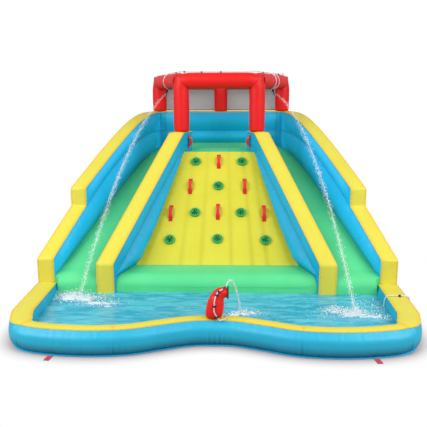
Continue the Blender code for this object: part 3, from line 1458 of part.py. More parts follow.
motor = turned(
    "blower_motor",
    (
        (SHAFT_R, BLOWER_HALF + BACK_PLATE_X + IMPELLER_L - 0.004),
        (SHAFT_R, 0.0),
        (MOTOR_R * 0.8, 0.0),
        (MOTOR_R, -0.006),
        (MOTOR_R, -MOTOR_L + 0.010),
        (MOTOR_R * 0.75, -MOTOR_L),
    ),
    frame_at(BLOWER_AT + Vector((-BLOWER_HALF - GAP, 0, 0)), (1, 0, 0), (0, 0, 1)),
    STEEL,
    sides=20,
)

# Rocker switch on the housing's back plate, its belly on the floor of its well
ROCKER_BELLY = 0.002
SWITCH_AT = BLOWER_AT + Vector((-BLOWER_HALF - 0.008, 0.0, 0.093))
bezel = box(
    "switch_bezel",
    SWITCH_AT + Vector((-0.004, -0.017, -0.013)),
    SWITCH_AT + Vector((0.010, 0.017, 0.013)),
    YELLOW_PLASTIC,
)
well = box(
    "switch_well",
    SWITCH_AT + Vector((-0.010, -0.013, -0.009)),
    SWITCH_AT + Vector((ROCKER_BELLY + GAP, 0.013, 0.009)),
    BLACK,
)
boolean(back_half, bezel, "UNION")
boolean(back_half, well, "DIFFERENCE")
depth, width, tall = SWITCH_SIZE
rocker_line = [
    (ROCKER_BELLY, 0.0),
    (-0.001, -width / 2),
    (ROCKER_BELLY - depth, -width / 2),
    (ROCKER_BELLY - depth + 0.002, 0.0),
    (ROCKER_BELLY - depth, width / 2),
    (-0.001, width / 2),
]
rings = []
for z in (-tall / 2, tall / 2):
    rings.append([SWITCH_AT + Vector((x, y, z)) for x, y in rocker_line])
loft("blower_switch", rings, BLACK, smooth=False)

# Inflation tube from the collar to the flat panel of the back wall
tube_in = COLLAR_R + 0.004 + GAP
start_y, end_y = WALL_BACK_Y + GAP, DUCT_AXIS.y - 0.012
tube_profile = []
for t in (0.0, 0.25, 0.5, 0.75, 1.0):
    tube_profile.append((tube_in + TUBE_T + 0.006 * math.sin(math.pi * t), mix(0.0, end_y - start_y, t)))
for t in (1.0, 0.5, 0.0):
    tube_profile.append((tube_in, mix(0.0, end_y - start_y, t)))
turned(
    "inflation_tube",
    tube_profile,
    frame_at((DUCT_AXIS.x, start_y, DUCT_AXIS.z), (0, 1, 0), (1, 0, 0)),
    YELLOW,
    sides=20,
    looped=True,
)
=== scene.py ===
"""Looks of the inflatable water park: sewn air chambers, webbing, net, hoses, fittings, water and blower."""

import math

import bmesh
import bpy
import numpy as np
from mathutils import Matrix, Vector


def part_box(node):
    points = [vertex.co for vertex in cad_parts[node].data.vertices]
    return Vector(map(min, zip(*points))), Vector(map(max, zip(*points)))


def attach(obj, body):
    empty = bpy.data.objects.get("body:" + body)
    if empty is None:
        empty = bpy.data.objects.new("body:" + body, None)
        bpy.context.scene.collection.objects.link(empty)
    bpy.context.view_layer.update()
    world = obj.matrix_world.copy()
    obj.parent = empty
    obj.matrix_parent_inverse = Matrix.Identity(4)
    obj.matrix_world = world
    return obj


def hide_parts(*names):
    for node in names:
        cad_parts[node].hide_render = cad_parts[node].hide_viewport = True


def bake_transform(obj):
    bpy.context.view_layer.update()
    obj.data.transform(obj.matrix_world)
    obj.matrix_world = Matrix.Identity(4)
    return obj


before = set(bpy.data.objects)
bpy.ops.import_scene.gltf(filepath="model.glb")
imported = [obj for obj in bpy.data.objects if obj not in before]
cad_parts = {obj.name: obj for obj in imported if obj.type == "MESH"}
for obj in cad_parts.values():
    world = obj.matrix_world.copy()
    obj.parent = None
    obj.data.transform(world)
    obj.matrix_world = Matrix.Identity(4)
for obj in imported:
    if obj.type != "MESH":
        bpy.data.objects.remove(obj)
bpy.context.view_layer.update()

# Sizes shared with the part, in metres
GAP = 0.0003
SHEET_T = 0.006
CAP_T = 0.004
CAP_CROWN = 0.010
CAP_TOP = GAP + CAP_T + CAP_CROWN
FLOOR_Z = SHEET_T + GAP
POOL_H = 0.25
POOL_TUBE_W = 0.25
POOL_FOOT_W = 0.13
POOL_ARM_X = 1.915
POOL_BAND_ARM = 0.215
POOL_BAND_FRONT = 0.13
POOL_NOTCH_Y = -1.02
POOL_LOBE_Y = -1.285
POOL_LOBE_X = 1.20
POOL_CORNER_Y = -1.14
POOL_CORNER_X = 1.815
WALL_FRONT_Y = 0.02
WALL_BACK_Y = 2.926
WALL_FRONT_X = 2.015
WALL_BACK_X = 1.018
WALL_W = 0.186
WALL_BULGE = 0.045
LOW_STEP_Z = 0.53
SEAM_Z = 1.73
STEP_Y = 0.72
STEP_Z = 1.21
RIM_Z = 2.0
BACK_FRONT_Y = WALL_BACK_Y - 0.20
BACK_PANEL_Z = 0.30
SLIDE_FRONT_Y = -0.03
SLIDE_NOSE_R = 0.15
SLIDE_NOSE_Z = 0.30
SLIDE_HEAD_Z = 1.47
SLIDE_HEAD_Y = 2.70
SLIDE_CROWN = 0.045
DIVIDER_FRONT_Y = -0.03
DIVIDER_BACK_Y = 1.825
DIVIDER_FRONT_X = 1.338
DIVIDER_BACK_X = 0.561
DIVIDER_W = 0.194
DIVIDER_FRONT_Z = 0.49
DIVIDER_TOP_Z = 1.795
DIVIDER_TOP_Y = 1.60
DIVIDER_CREASE = 0.17
DIVIDER_BULGE = 0.09
DIVIDER_TOP_BULGE = 0.03
CUSHION_FRONT_Y = 0.0
CUSHION_R = 0.12
CUSHION_Z = 0.33
CLIMB_FRONT_Y = 0.416
CLIMB_FOOT_Z = 0.349
CLIMB_CROWN = 0.03
PLATFORM_FRONT_Y = 1.60
PLATFORM_Z = 1.55
PLATFORM_HALF_W = 0.60
PLATFORM_CROWN = 0.02
EDGE_CLEAR = 0.010
TUBE_R = 0.104
POST_X = 0.50
POST_Y = 1.72
FRONT_BEAM_Z = 2.468
REAR_POST_X = 0.91
REAR_POST_Y = 2.83
REAR_BEAM_Z = 2.43
CENTRE_R = 0.098
HOLD_ROWS = ((0.33, (-0.58, 0.0, 0.58)), (0.707, (-0.285, 0.285)), (1.103, (0.0,)), (1.511, (-0.30, 0.30)))
STRAP_W = 0.045
STRAP_L = 0.235
STRAP_T = 0.004
STRAP_RISE = 0.042
STRAP_END = 0.035
STRAP_ROWS = ((0.712, (-0.585, 0.0, 0.57)), (1.108, (-0.358, 0.334)), (1.503, (0.0,)))
ENTRY_STRAP_L = 0.17
ENTRY_STRAP_Z = 1.672
CANNON_BASE_R = 0.070
CANNON_BELLY_R = 0.086
CANNON_MOUTH_R = 0.052
CANNON_RISE = 0.246
CANNON_REACH = 0.135
CANNON_Y = POOL_NOTCH_Y
CANNON_Z = POOL_H + CAP_TOP + GAP
HOSE_R = 0.006
SIDES = (("left", -1), ("right", 1))

# Sizes of the scene alone, in metres
WATER_Z = 0.152
BACK_BULGE = 0.05
# What skins leave free between them where their solids meet
UNDER_BAND = 0.0005
BESIDE = 0.001


def mix(a, b, t):
    return a + (b - a) * t


def ease(t):
    t = min(1.0, max(0.0, t))
    return t * t * (3 - 2 * t)


def level_curve(y, start, slope, reach, end, ease_in):
    """Height at y of a curve that leaves start at a slope and arrives level at end."""
    (y0, z0), (y1, z1) = start, end
    if y >= y1:
        return z1
    low, high = 0.0, 1.0
    for _ in range(26):
        t = (low + high) / 2
        weights = ((1 - t) ** 3, 3 * t * (1 - t) ** 2, 3 * t * t * (1 - t), t**3)
        if sum(w * v for w, v in zip(weights, (y0, y0 + reach, y1 - ease_in, y1))) < y:
            low = t
        else:
            high = t
    return sum(w * v for w, v in zip(weights, (z0, z0 + reach * slope, z1, z1)))


def wall_outer_x(y):
    return mix(WALL_FRONT_X, WALL_BACK_X, (y - WALL_FRONT_Y) / (WALL_BACK_Y - WALL_FRONT_Y))


def wall_inner_x(y):
    return wall_outer_x(y) - WALL_W


def divider_outer_x(y):
    return mix(DIVIDER_FRONT_X, DIVIDER_BACK_X, (y - DIVIDER_FRONT_Y) / (DIVIDER_BACK_Y - DIVIDER_FRONT_Y))


def divider_inner_x(y):
    return divider_outer_x(y) - DIVIDER_W


def seam_z(y):
    return level_curve(y, (WALL_FRONT_Y, LOW_STEP_Z), 0.68, 0.84, (BACK_FRONT_Y - 0.12, SEAM_Z), 0.85)


def rim_z(y):
    return level_curve(y, (STEP_Y, STEP_Z), 0.54, 1.05, (BACK_FRONT_Y - 0.06, RIM_Z), 0.45)


def slide_z(y):
    return level_curve(max(y, 0.0), (0.0, SLIDE_NOSE_Z), 0.5, 1.6, (SLIDE_HEAD_Y, SLIDE_HEAD_Z), 0.5)


def beside_slide(y):
    return slide_z(max(y, SLIDE_FRONT_Y + SLIDE_NOSE_R)) + EDGE_CLEAR


def climb_z(y):
    if y < CLIMB_FRONT_Y:
        return mix(CUSHION_Z, CLIMB_FOOT_Z, max(0.0, y) / CLIMB_FRONT_Y)
    return min(
        PLATFORM_Z, mix(CLIMB_FOOT_Z, PLATFORM_Z, (y - CLIMB_FRONT_Y) / (PLATFORM_FRONT_Y - CLIMB_FRONT_Y))
    )


def divider_z(y):
    t = (y - DIVIDER_FRONT_Y) / (DIVIDER_TOP_Y - DIVIDER_FRONT_Y)
    return min(DIVIDER_TOP_Z, mix(DIVIDER_FRONT_Z, DIVIDER_TOP_Z, t))


def put(name, data):
    """A new object in the scene."""
    made = bpy.data.objects.new(name, data)
    bpy.context.scene.collection.objects.link(made)
    return made


# Camera, at the photograph's angle
SENSOR = 36.0
PHOTO_SIDE, PHOTO_FOCUS = 427, 640
CAMERA_AT = (0.190, -6.838, 2.564)
PITCH, YAW, ROLL = (math.radians(a) for a in (12.37, 1.81, -0.23))
look = Vector((-math.sin(YAW) * math.cos(PITCH), math.cos(YAW) * math.cos(PITCH), -math.sin(PITCH)))
level_right = Vector((math.cos(YAW), math.sin(YAW), 0.0))
level_up = level_right.cross(look)
right = level_right * math.cos(ROLL) + level_up * math.sin(ROLL)
up = level_up * math.cos(ROLL) - level_right * math.sin(ROLL)
camera = put("camera", bpy.data.cameras.new("camera"))
camera.data.sensor_width = SENSOR
camera.data.lens = PHOTO_FOCUS / PHOTO_SIDE * SENSOR
camera.matrix_world = Matrix.Translation(CAMERA_AT) @ Matrix((right, up, -look)).transposed().to_4x4()
bpy.context.scene.camera = camera


# Materials
def linear(hex_colour):
    """Linear colour of an sRGB hex value."""
    parts = [int(hex_colour[k : k + 2], 16) / 255 for k in (1, 3, 5)]
    return (*(p / 12.92 if p <= 0.04045 else ((p + 0.055) / 1.055) ** 2.4 for p in parts), 1.0)


def add(tree, kind, inputs=None, **settings):
    """Adds a node with its settings, and sets or links its inputs."""
    node = tree.nodes.new(kind)
    for key, value in settings.items():
        setattr(node, key, value)
    for key, value in (inputs or {}).items():
        if isinstance(value, bpy.types.NodeSocket):
            tree.links.new(value, node.inputs[key])
        else:
            node.inputs[key].default_value = value
    return node


def new_material(name):
    made = bpy.data.materials.new(name)
    made.use_nodes = True
    tree = made.node_tree
    return made, tree, tree.nodes["Principled BSDF"]


def coated_fabric(
    name, colour, shade, edge, roughness=0.42, tint=0.5, reach=0.020, wrinkle=0.0035, shine=0.32
):
    """PVC coated polyester: a smooth half gloss skin over a plain weave, of another tone beside its seams and
    wherever a piece lays painted shade into its seam values.
    """
    made, tree, skin = new_material(name)
    place = add(tree, "ShaderNodeTexCoord")
    seam = add(tree, "ShaderNodeAttribute", attribute_name="seam")
    # Threads lie 0.8 mm apart in the real cloth and are drawn 5 mm apart, the finest that shows
    grid = add(tree, "ShaderNodeMapping", {"Vector": place.outputs["UV"], "Scale": (1 / 0.005,) * 3})
    parted = add(tree, "ShaderNodeSeparateXYZ", {"Vector": grid.outputs["Vector"]})
    warp = add(tree, "ShaderNodeMath", {0: parted.outputs["X"], 1: 2 * math.pi}, operation="MULTIPLY")
    weft = add(tree, "ShaderNodeMath", {0: parted.outputs["Y"], 1: 2 * math.pi}, operation="MULTIPLY")
    over = add(tree, "ShaderNodeMath", {0: warp.outputs[0]}, operation="SINE")
    under = add(tree, "ShaderNodeMath", {0: weft.outputs[0]}, operation="SINE")
    weave = add(tree, "ShaderNodeMath", {0: over.outputs[0], 1: under.outputs[0]}, operation="MULTIPLY")
    # Slow unevenness of the dye and the tension, 300 mm and 90 mm across
    dye = add(tree, "ShaderNodeTexNoise", {"Vector": place.outputs["Object"], "Scale": 3.3, "Detail": 3.0})
    pull = add(
        tree,
        "ShaderNodeTexNoise",
        {"Vector": place.outputs["Object"], "Scale": 11.0, "Detail": 4.0, "Roughness": 0.55},
    )
    toned = add(
        tree, "ShaderNodeMix", {0: dye.outputs["Fac"], 6: linear(shade), 7: linear(colour)}, data_type="RGBA"
    )
    near = add(
        tree, "ShaderNodeMapRange", {"Value": seam.outputs["Fac"], 1: 0.002, 2: reach, 3: tint, 4: 0.0}
    )
    sewn = add(
        tree, "ShaderNodeMix", {0: near.outputs[0], 6: toned.outputs[2], 7: linear(edge)}, data_type="RGBA"
    )
    tree.links.new(sewn.outputs[2], skin.inputs["Base Color"])
    worn = add(
        tree,
        "ShaderNodeMapRange",
        {"Value": pull.outputs["Fac"], 1: 0.3, 2: 0.7, 3: roughness - 0.05, 4: roughness + 0.08},
    )
    tree.links.new(worn.outputs[0], skin.inputs["Roughness"])
    slack = add(tree, "ShaderNodeBump", {"Strength": 0.5, "Distance": wrinkle, "Height": pull.outputs["Fac"]})
    threads = add(
        tree,
        "ShaderNodeBump",
        {"Strength": 0.22, "Distance": 0.0008, "Height": weave.outputs[0], "Normal": slack.outputs[0]},
    )
    tree.links.new(threads.outputs[0], skin.inputs["Normal"])
    skin.inputs["Coat Weight"].default_value = 0.04
    skin.inputs["Coat Roughness"].default_value = 0.35
    skin.inputs["Specular IOR Level"].default_value = shine
    skin.inputs["IOR"].default_value = 1.5
    return made


# Third colours: the tone beside each fabric's seams, and painted shade on the pool tube, the cannon, the
# climbing wall and the holds
BLUE = coated_fabric("coated polyester, blue", "#0DB2DB", "#09A2CE", "#0A84AC")
# Painted light: a lighter copy of the blue fabric for the side walls, which stand in more light than the back
# wall and the dividers
LIT_SIDE_WALL_BLUE = coated_fabric("coated polyester, wall blue", "#2ACEFF", "#1EBCF4", "#169AD0", shine=0.5)
# The pool blue's third colour, far darker, is the painted shade of the tube's lower half
POOL_BLUE = coated_fabric(
    "coated polyester, pool blue", "#1CB6D6", "#12A2C8", "#02566F", tint=0.78, shine=0.5
)
FLANGE_BLUE = coated_fabric("coated polyester, light blue flange", "#48C6F4", "#38B8EC", "#38B8EC")
YELLOW = coated_fabric("coated polyester, yellow", "#E0D650", "#D8CB43", "#E8B822", tint=0.8, reach=0.034)
CLIMB_YELLOW = coated_fabric("coated polyester, climbing yellow", "#D8D240", "#CBC430", "#ADA40A", tint=0.6)
GREEN = coated_fabric("coated polyester, green", "#5FDA92", "#4ECB80", "#36AF69")
HOLD_GREEN = coated_fabric("coated polyester, hold green", "#36BE64", "#2AAA55", "#032A10", tint=0.98)
RED = coated_fabric("coated polyester, red", "#EA100E", "#DC0B0A", "#960606", shine=0.34)
SHEET_BLUE = coated_fabric("coated polyester, base sheet", "#2A9CC4", "#2089B0", "#2089B0", roughness=0.5)


def moulded(name, colour, roughness=0.38, grain=0.0002, metal=0.0):
    """A hard surface with an even colour, a fine grain and a slightly uneven polish."""
    made, tree, skin = new_material(name)
    place = add(tree, "ShaderNodeTexCoord")
    grit = add(tree, "ShaderNodeTexNoise", {"Vector": place.outputs["Object"], "Scale": 900.0, "Detail": 2.0})
    flow = add(tree, "ShaderNodeTexNoise", {"Vector": place.outputs["Object"], "Scale": 18.0, "Detail": 3.0})
    tone = add(
        tree,
        "ShaderNodeMapRange",
        {"Value": flow.outputs["Fac"], 1: 0.3, 2: 0.7, 3: roughness - 0.04, 4: roughness + 0.06},
    )
    tree.links.new(tone.outputs[0], skin.inputs["Roughness"])
    value = add(tree, "ShaderNodeMapRange", {"Value": flow.outputs["Fac"], 1: 0.3, 2: 0.7, 3: 0.96, 4: 1.03})
    shade = add(tree, "ShaderNodeHueSaturation", {"Color": linear(colour), "Value": value.outputs[0]})
    tree.links.new(shade.outputs[0], skin.inputs["Base Color"])
    bump = add(tree, "ShaderNodeBump", {"Strength": 0.15, "Distance": grain, "Height": grit.outputs["Fac"]})
    tree.links.new(bump.outputs[0], skin.inputs["Normal"])
    skin.inputs["IOR"].default_value = 1.5
    skin.inputs["Metallic"].default_value = metal
    return made


# Spark eroded nylon reads as matt black, polypropylene as a soft sheen, steel by its mirror highlights
BLACK = moulded("moulded nylon, black", "#16171A", 0.42)
BLOWER_YELLOW = moulded("moulded polypropylene, yellow", "#EEE25A", 0.34)
BLOWER_GREEN = moulded("moulded polypropylene, green", "#22C45A", 0.36)
STEEL = moulded("zinc plated steel", "#B4B6B8", 0.28, metal=1.0)
# Dull fibres that give the net, its tape and the thread no highlight
NETTING = moulded("knotless polyester net, grey", "#949699", 0.85)
NET_TAPE = moulded("polyester binding tape, grey", "#8A8A87", 0.85)
THREAD = moulded("bonded polyester thread, yellow", "#D9BC3A", 0.6)
STRAP_THREAD = moulded("bonded polyester thread, dark red", "#8E1414", 0.6)


def webbing(name, colour, shade):
    """Woven polypropylene webbing: dull, with ribs across its length."""
    made, tree, skin = new_material(name)
    place = add(tree, "ShaderNodeTexCoord")
    parted = add(tree, "ShaderNodeSeparateXYZ", {"Vector": place.outputs["UV"]})
    # Ribs lie 1.2 mm apart in the real webbing and are drawn 3 mm apart, the finest that shows
    turn = add(tree, "ShaderNodeMath", {0: parted.outputs["X"], 1: 2 * math.pi / 0.003}, operation="MULTIPLY")
    rib = add(tree, "ShaderNodeMath", {0: turn.outputs[0]}, operation="SINE")
    fibre = add(
        tree, "ShaderNodeTexNoise", {"Vector": place.outputs["Object"], "Scale": 240.0, "Detail": 3.0}
    )
    mixed = add(tree, "ShaderNodeMapRange", {"Value": rib.outputs[0], 1: -1.0, 2: 1.0, 3: 0.15, 4: 0.85})
    both = add(tree, "ShaderNodeMath", {0: mixed.outputs[0], 1: fibre.outputs["Fac"]}, operation="MULTIPLY")
    toned = add(
        tree, "ShaderNodeMix", {0: both.outputs[0], 6: linear(shade), 7: linear(colour)}, data_type="RGBA"
    )
    tree.links.new(toned.outputs[2], skin.inputs["Base Color"])
    raised = add(tree, "ShaderNodeBump", {"Strength": 0.6, "Distance": 0.0006, "Height": rib.outputs[0]})
    tree.links.new(raised.outputs[0], skin.inputs["Normal"])
    skin.inputs["Roughness"].default_value = 0.72
    skin.inputs["Sheen Weight"].default_value = 0.15
    return made


WEBBING = webbing("polypropylene webbing, red", "#FF2C24", "#DB1A16")
BLACK_WEB = webbing("polypropylene webbing, black", "#26272B", "#101114")


def clear(name, colour, roughness, transmission, ior, uneven):
    """A clear body whose outline and highlights show, not fully clear so that it stays bright by itself."""
    made, tree, skin = new_material(name)
    place = add(tree, "ShaderNodeTexCoord")
    flow = add(
        tree, "ShaderNodeTexNoise", {"Vector": place.outputs["Object"], "Scale": uneven, "Detail": 3.0}
    )
    tone = add(
        tree,
        "ShaderNodeMapRange",
        {"Value": flow.outputs["Fac"], 1: 0.3, 2: 0.7, 3: roughness * 0.8, 4: roughness * 1.3},
    )
    tree.links.new(tone.outputs[0], skin.inputs["Roughness"])
    slack = add(tree, "ShaderNodeBump", {"Strength": 0.3, "Distance": 0.001, "Height": flow.outputs["Fac"]})
    tree.links.new(slack.outputs[0], skin.inputs["Normal"])
    skin.inputs["Base Color"].default_value = linear(colour)
    skin.inputs["Transmission Weight"].default_value = transmission
    skin.inputs["IOR"].default_value = ior
    return made


HOSE_CLEAR = clear("plasticised PVC hose, clear", "#EEF5F9", 0.10, 0.45, 1.5, 40.0)
SPRAY = clear("water in drops", "#FFFFFF", 0.25, 0.08, 1.33, 60.0)


def pool_water(name):
    """Water over a blue sheet with painted light: pale where its surface tips to the sky, a painted sky
    reflection, darker in the ripples' troughs, and with painted glints on the short ripples.
    """
    made, tree, skin = new_material(name)
    place = add(tree, "ShaderNodeTexCoord")
    # Ripples are long from side to side: 60 mm by 250 mm, and 18 mm by 60 mm
    slow = add(tree, "ShaderNodeMapping", {"Vector": place.outputs["Object"], "Scale": (4.0, 16.0, 4.0)})
    swell = add(
        tree,
        "ShaderNodeTexNoise",
        {"Vector": slow.outputs["Vector"], "Scale": 1.0, "Detail": 3.0, "Distortion": 0.6},
    )
    quick = add(tree, "ShaderNodeMapping", {"Vector": place.outputs["Object"], "Scale": (16.0, 55.0, 16.0)})
    chop = add(
        tree,
        "ShaderNodeTexNoise",
        {"Vector": quick.outputs["Vector"], "Scale": 1.0, "Detail": 2.0, "Distortion": 0.8},
    )
    depth = add(tree, "ShaderNodeMapRange", {"Value": swell.outputs["Fac"], 1: 0.36, 2: 0.62, 3: 0.0, 4: 1.0})
    toned = add(
        tree,
        "ShaderNodeMix",
        {0: depth.outputs[0], 6: linear("#36AECE"), 7: linear("#6BD2E8")},
        data_type="RGBA",
    )
    # Painted glints: pale spots where the short ripples peak
    painted_glint = add(tree, "ShaderNodeMapRange", {"Value": chop.outputs["Fac"], 1: 0.60, 2: 0.76, 3: 0.0, 4: 0.55})
    lit = add(
        tree,
        "ShaderNodeMix",
        {0: painted_glint.outputs[0], 6: toned.outputs[2], 7: linear("#B4E9F3")},
        data_type="RGBA",
    )
    tree.links.new(lit.outputs[2], skin.inputs["Base Color"])
    long_wave = add(
        tree, "ShaderNodeBump", {"Strength": 0.6, "Distance": 0.010, "Height": swell.outputs["Fac"]}
    )
    short_wave = add(
        tree,
        "ShaderNodeBump",
        {"Strength": 0.5, "Distance": 0.004, "Height": chop.outputs["Fac"], "Normal": long_wave.outputs[0]},
    )
    tree.links.new(short_wave.outputs[0], skin.inputs["Normal"])
    skin.inputs["Roughness"].default_value = 0.07
    skin.inputs["Transmission Weight"].default_value = 0.25
    skin.inputs["IOR"].default_value = 1.33
    return made


WATER = pool_water("pool water")


def foam(name):
    """Foam: white bubbles 9 mm across that scatter all light."""
    made, tree, skin = new_material(name)
    place = add(tree, "ShaderNodeTexCoord")
    bubbles = add(tree, "ShaderNodeTexVoronoi", {"Vector": place.outputs["Object"], "Scale": 110.0})
    tone = add(
        tree, "ShaderNodeMapRange", {"Value": bubbles.outputs["Distance"], 1: 0.0, 2: 0.8, 3: 1.0, 4: 0.0}
    )
    toned = add(
        tree,
        "ShaderNodeMix",
        {0: tone.outputs[0], 6: linear("#CDEBF3"), 7: linear("#FFFFFF")},
        data_type="RGBA",
    )
    tree.links.new(toned.outputs[2], skin.inputs["Base Color"])
    round_off = add(tree, "ShaderNodeBump", {"Strength": 0.8, "Distance": 0.004, "Height": tone.outputs[0]})
    tree.links.new(round_off.outputs[0], skin.inputs["Normal"])
    skin.inputs["Roughness"].default_value = 0.45
    skin.inputs["Subsurface Weight"].default_value = 0.2
    skin.inputs["Subsurface Radius"].default_value = (0.01, 0.012, 0.014)
    return made


FOAM = foam("foam")


# Building sewn skins over grids of points
def folds(along, pitch, seed):
    """Uneven folds beside a seam, from 0 to 1, whose spacing varies round a pitch."""
    dice = np.random.default_rng(seed)
    total = np.zeros_like(along)
    for stretch in (0.62, 0.85, 1.0, 1.35, 1.9):
        total += np.sin(
            2 * np.pi * (along / (pitch * stretch) + dice.random()) + 1.5 * np.sin(along / 0.37 + stretch)
        )
    return np.clip(0.5 + total / 5.5, 0.0, 1.0)


def run_length(grid, axis):
    steps = np.linalg.norm(np.diff(grid, axis=axis), axis=2)
    start = np.zeros_like(np.take(steps, [0], axis=axis))
    return np.cumsum(np.concatenate([start, steps], axis=axis), axis=axis)


def outward(grid):
    """Unit normals of a grid of rings, away from the middle of each ring."""
    normal = np.cross(np.gradient(grid, axis=0), np.roll(grid, -1, 1) - np.roll(grid, 1, 1))
    normal /= np.maximum(np.linalg.norm(normal, axis=2, keepdims=True), 1e-9)
    from_middle = grid - grid.mean(axis=1, keepdims=True)
    return normal if (from_middle * normal).sum() > 0 else -normal


# Depth, pitch and reach of the folds beside a seam
FOLDED = (0.004, 0.07, 0.03)
NO_FOLD = (0.0, 0.05, 0.02)


def skin(name, grid, material, seams_v=(), seams_u=(), fold=FOLDED, seed=1, sharp=50.0, body="park", sew=()):
    """A sewn skin over rings of points, closed at both ends and drawn in with folds beside its seams.

    seams_v are the points of a ring and seams_u the rings that a seam follows. sew are the points of a ring
    that stitches follow.
    """
    grid = np.asarray(grid, float)
    along, across = run_length(grid, 0), run_length(grid, 1)
    depth, pitch, reach = fold
    near = np.full(grid.shape[:2], 1.0)
    drawn = np.zeros(grid.shape[:2])
    rows, columns = grid.shape[:2]
    for index, column in enumerate(seams_v):
        off = np.abs(across - across[:, [column]])
        near = np.minimum(near, off)
        share = off / reach
        drawn += (
            folds(along[:, [column]] * np.ones((1, columns)), pitch, seed + index) * share * np.exp(1 - share)
        )
    for index, row in enumerate(seams_u):
        off = np.abs(along - along[[row], :])
        near = np.minimum(near, off)
        share = off / reach
        drawn += (
            folds(across[[row], :] * np.ones((rows, 1)), pitch, seed + 50 + index) * share * np.exp(1 - share)
        )
        drawn += 1.3 * np.exp(-((off / (0.35 * reach)) ** 2))
    normal = outward(grid)
    points = grid - normal * (drawn * depth)[:, :, None]
    for column in sew:
        band_stitches.follow([Vector(p) for p in points[:, column]], [Vector(n) for n in normal[:, column]])
    u = along.mean(axis=1)
    v = across.mean(axis=0)
    v = np.append(v, v[-1] + np.linalg.norm(grid[:, 0] - grid[:, -1], axis=1).mean())
    i, j = (n.ravel() for n in np.meshgrid(np.arange(rows - 1), np.arange(columns), indexing="ij"))
    k = (j + 1) % columns
    quads = np.stack([i * columns + j, (i + 1) * columns + j, (i + 1) * columns + k, i * columns + k], axis=1)
    corners = ((i, j), (i + 1, j), (i + 1, j + 1), (i, j + 1))
    uvs = np.stack([np.stack([u[m], v[n]], 1) for m, n in corners], axis=1)
    faces = quads.tolist()
    corner_uv = uvs.reshape(-1, 2).tolist()
    for row in (0, rows - 1):
        ring = list(range(row * columns, (row + 1) * columns))
        if row:
            ring = ring[::-1]
        faces.append(ring)
        flat = grid[row] - grid[row].mean(axis=0)
        axes = np.linalg.svd(flat, full_matrices=False)[2][:2]
        corner_uv += [list(axes @ flat[n % columns]) for n in ring]
    return mesh_of(name, points.reshape(-1, 3), faces, material, corner_uv, near.ravel(), sharp, body)


def mesh_of(name, points, faces, material, corner_uv=None, seam=None, sharp=50.0, body="park"):
    """A mesh object with its UV in metres, its distance to the nearest seam, and its faces outwards."""
    data = bpy.data.meshes.new(name)
    data.from_pydata([tuple(p) for p in points], [], faces)
    if corner_uv is not None:
        layer = data.uv_layers.new(name="UVMap")
        layer.data.foreach_set("uv", np.asarray(corner_uv, np.float32).ravel())
    if seam is not None:
        layer = data.attributes.new("seam", "FLOAT", "POINT")
        layer.data.foreach_set("value", np.asarray(seam, np.float32))
    work = bmesh.new()
    work.from_mesh(data)
    bmesh.ops.recalc_face_normals(work, faces=work.faces)
    if work.faces and work.calc_volume(signed=True) < 0 and not any(e.is_boundary for e in work.edges):
        bmesh.ops.reverse_faces(work, faces=work.faces)
    work.to_mesh(data)
    work.free()
    data.materials.append(material)
    data.shade_smooth()
    data.set_sharp_from_angle(angle=math.radians(sharp))
    made = put(name, data)
    if body:
        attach(made, body)
    return made


def stands_for(made, node):
    """Hides the CAD node in whose place a fabric piece stands."""
    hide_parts(node)
    return made


def paint_shade(made, share_at):
    """Paints shade: brings in the fabric's seam tone where share_at(x, y, z) of its points is over 0, and
    sets aside the tone beside its seams.
    """
    spots = np.empty(3 * len(made.data.vertices))
    made.data.vertices.foreach_get("co", spots)
    share = np.clip(share_at(spots[::3], spots[1::3], spots[2::3]), 0.0, 1.0)
    made.data.attributes["seam"].data.foreach_set("value", (0.020 - 0.018 * share).astype(np.float32))


# Placing, turned pieces and pieces that repeat
def frame_at(origin, z_axis, x_hint):
    z = Vector(z_axis).normalized()
    x = (Vector(x_hint) - z * Vector(x_hint).dot(z)).normalized()
    return Matrix.Translation(Vector(origin)) @ Matrix((x, z.cross(x), z)).transposed().to_4x4()


def turned(name, profile, place, material, sides=48, looped=False, body="park", sharp=40.0):
    """A turned piece: its profile of (radius, height) round the local Z axis, closed when looped."""
    points, faces = [], []
    for radius, height in profile:
        for n in range(sides):
            a = 2 * math.pi * n / sides
            points.append(place @ Vector((radius * math.cos(a), radius * math.sin(a), height)))
    rows = len(profile)
    for k in range(rows if looped else rows - 1):
        for n in range(sides):
            m, j = (n + 1) % sides, (k + 1) % rows
            faces.append((k * sides + n, k * sides + m, j * sides + m, j * sides + n))
    if not looped:
        faces.append(tuple(range(sides))[::-1])
        faces.append(tuple(range((rows - 1) * sides, rows * sides)))
    return mesh_of(name, points, faces, material, sharp=sharp, body=body)


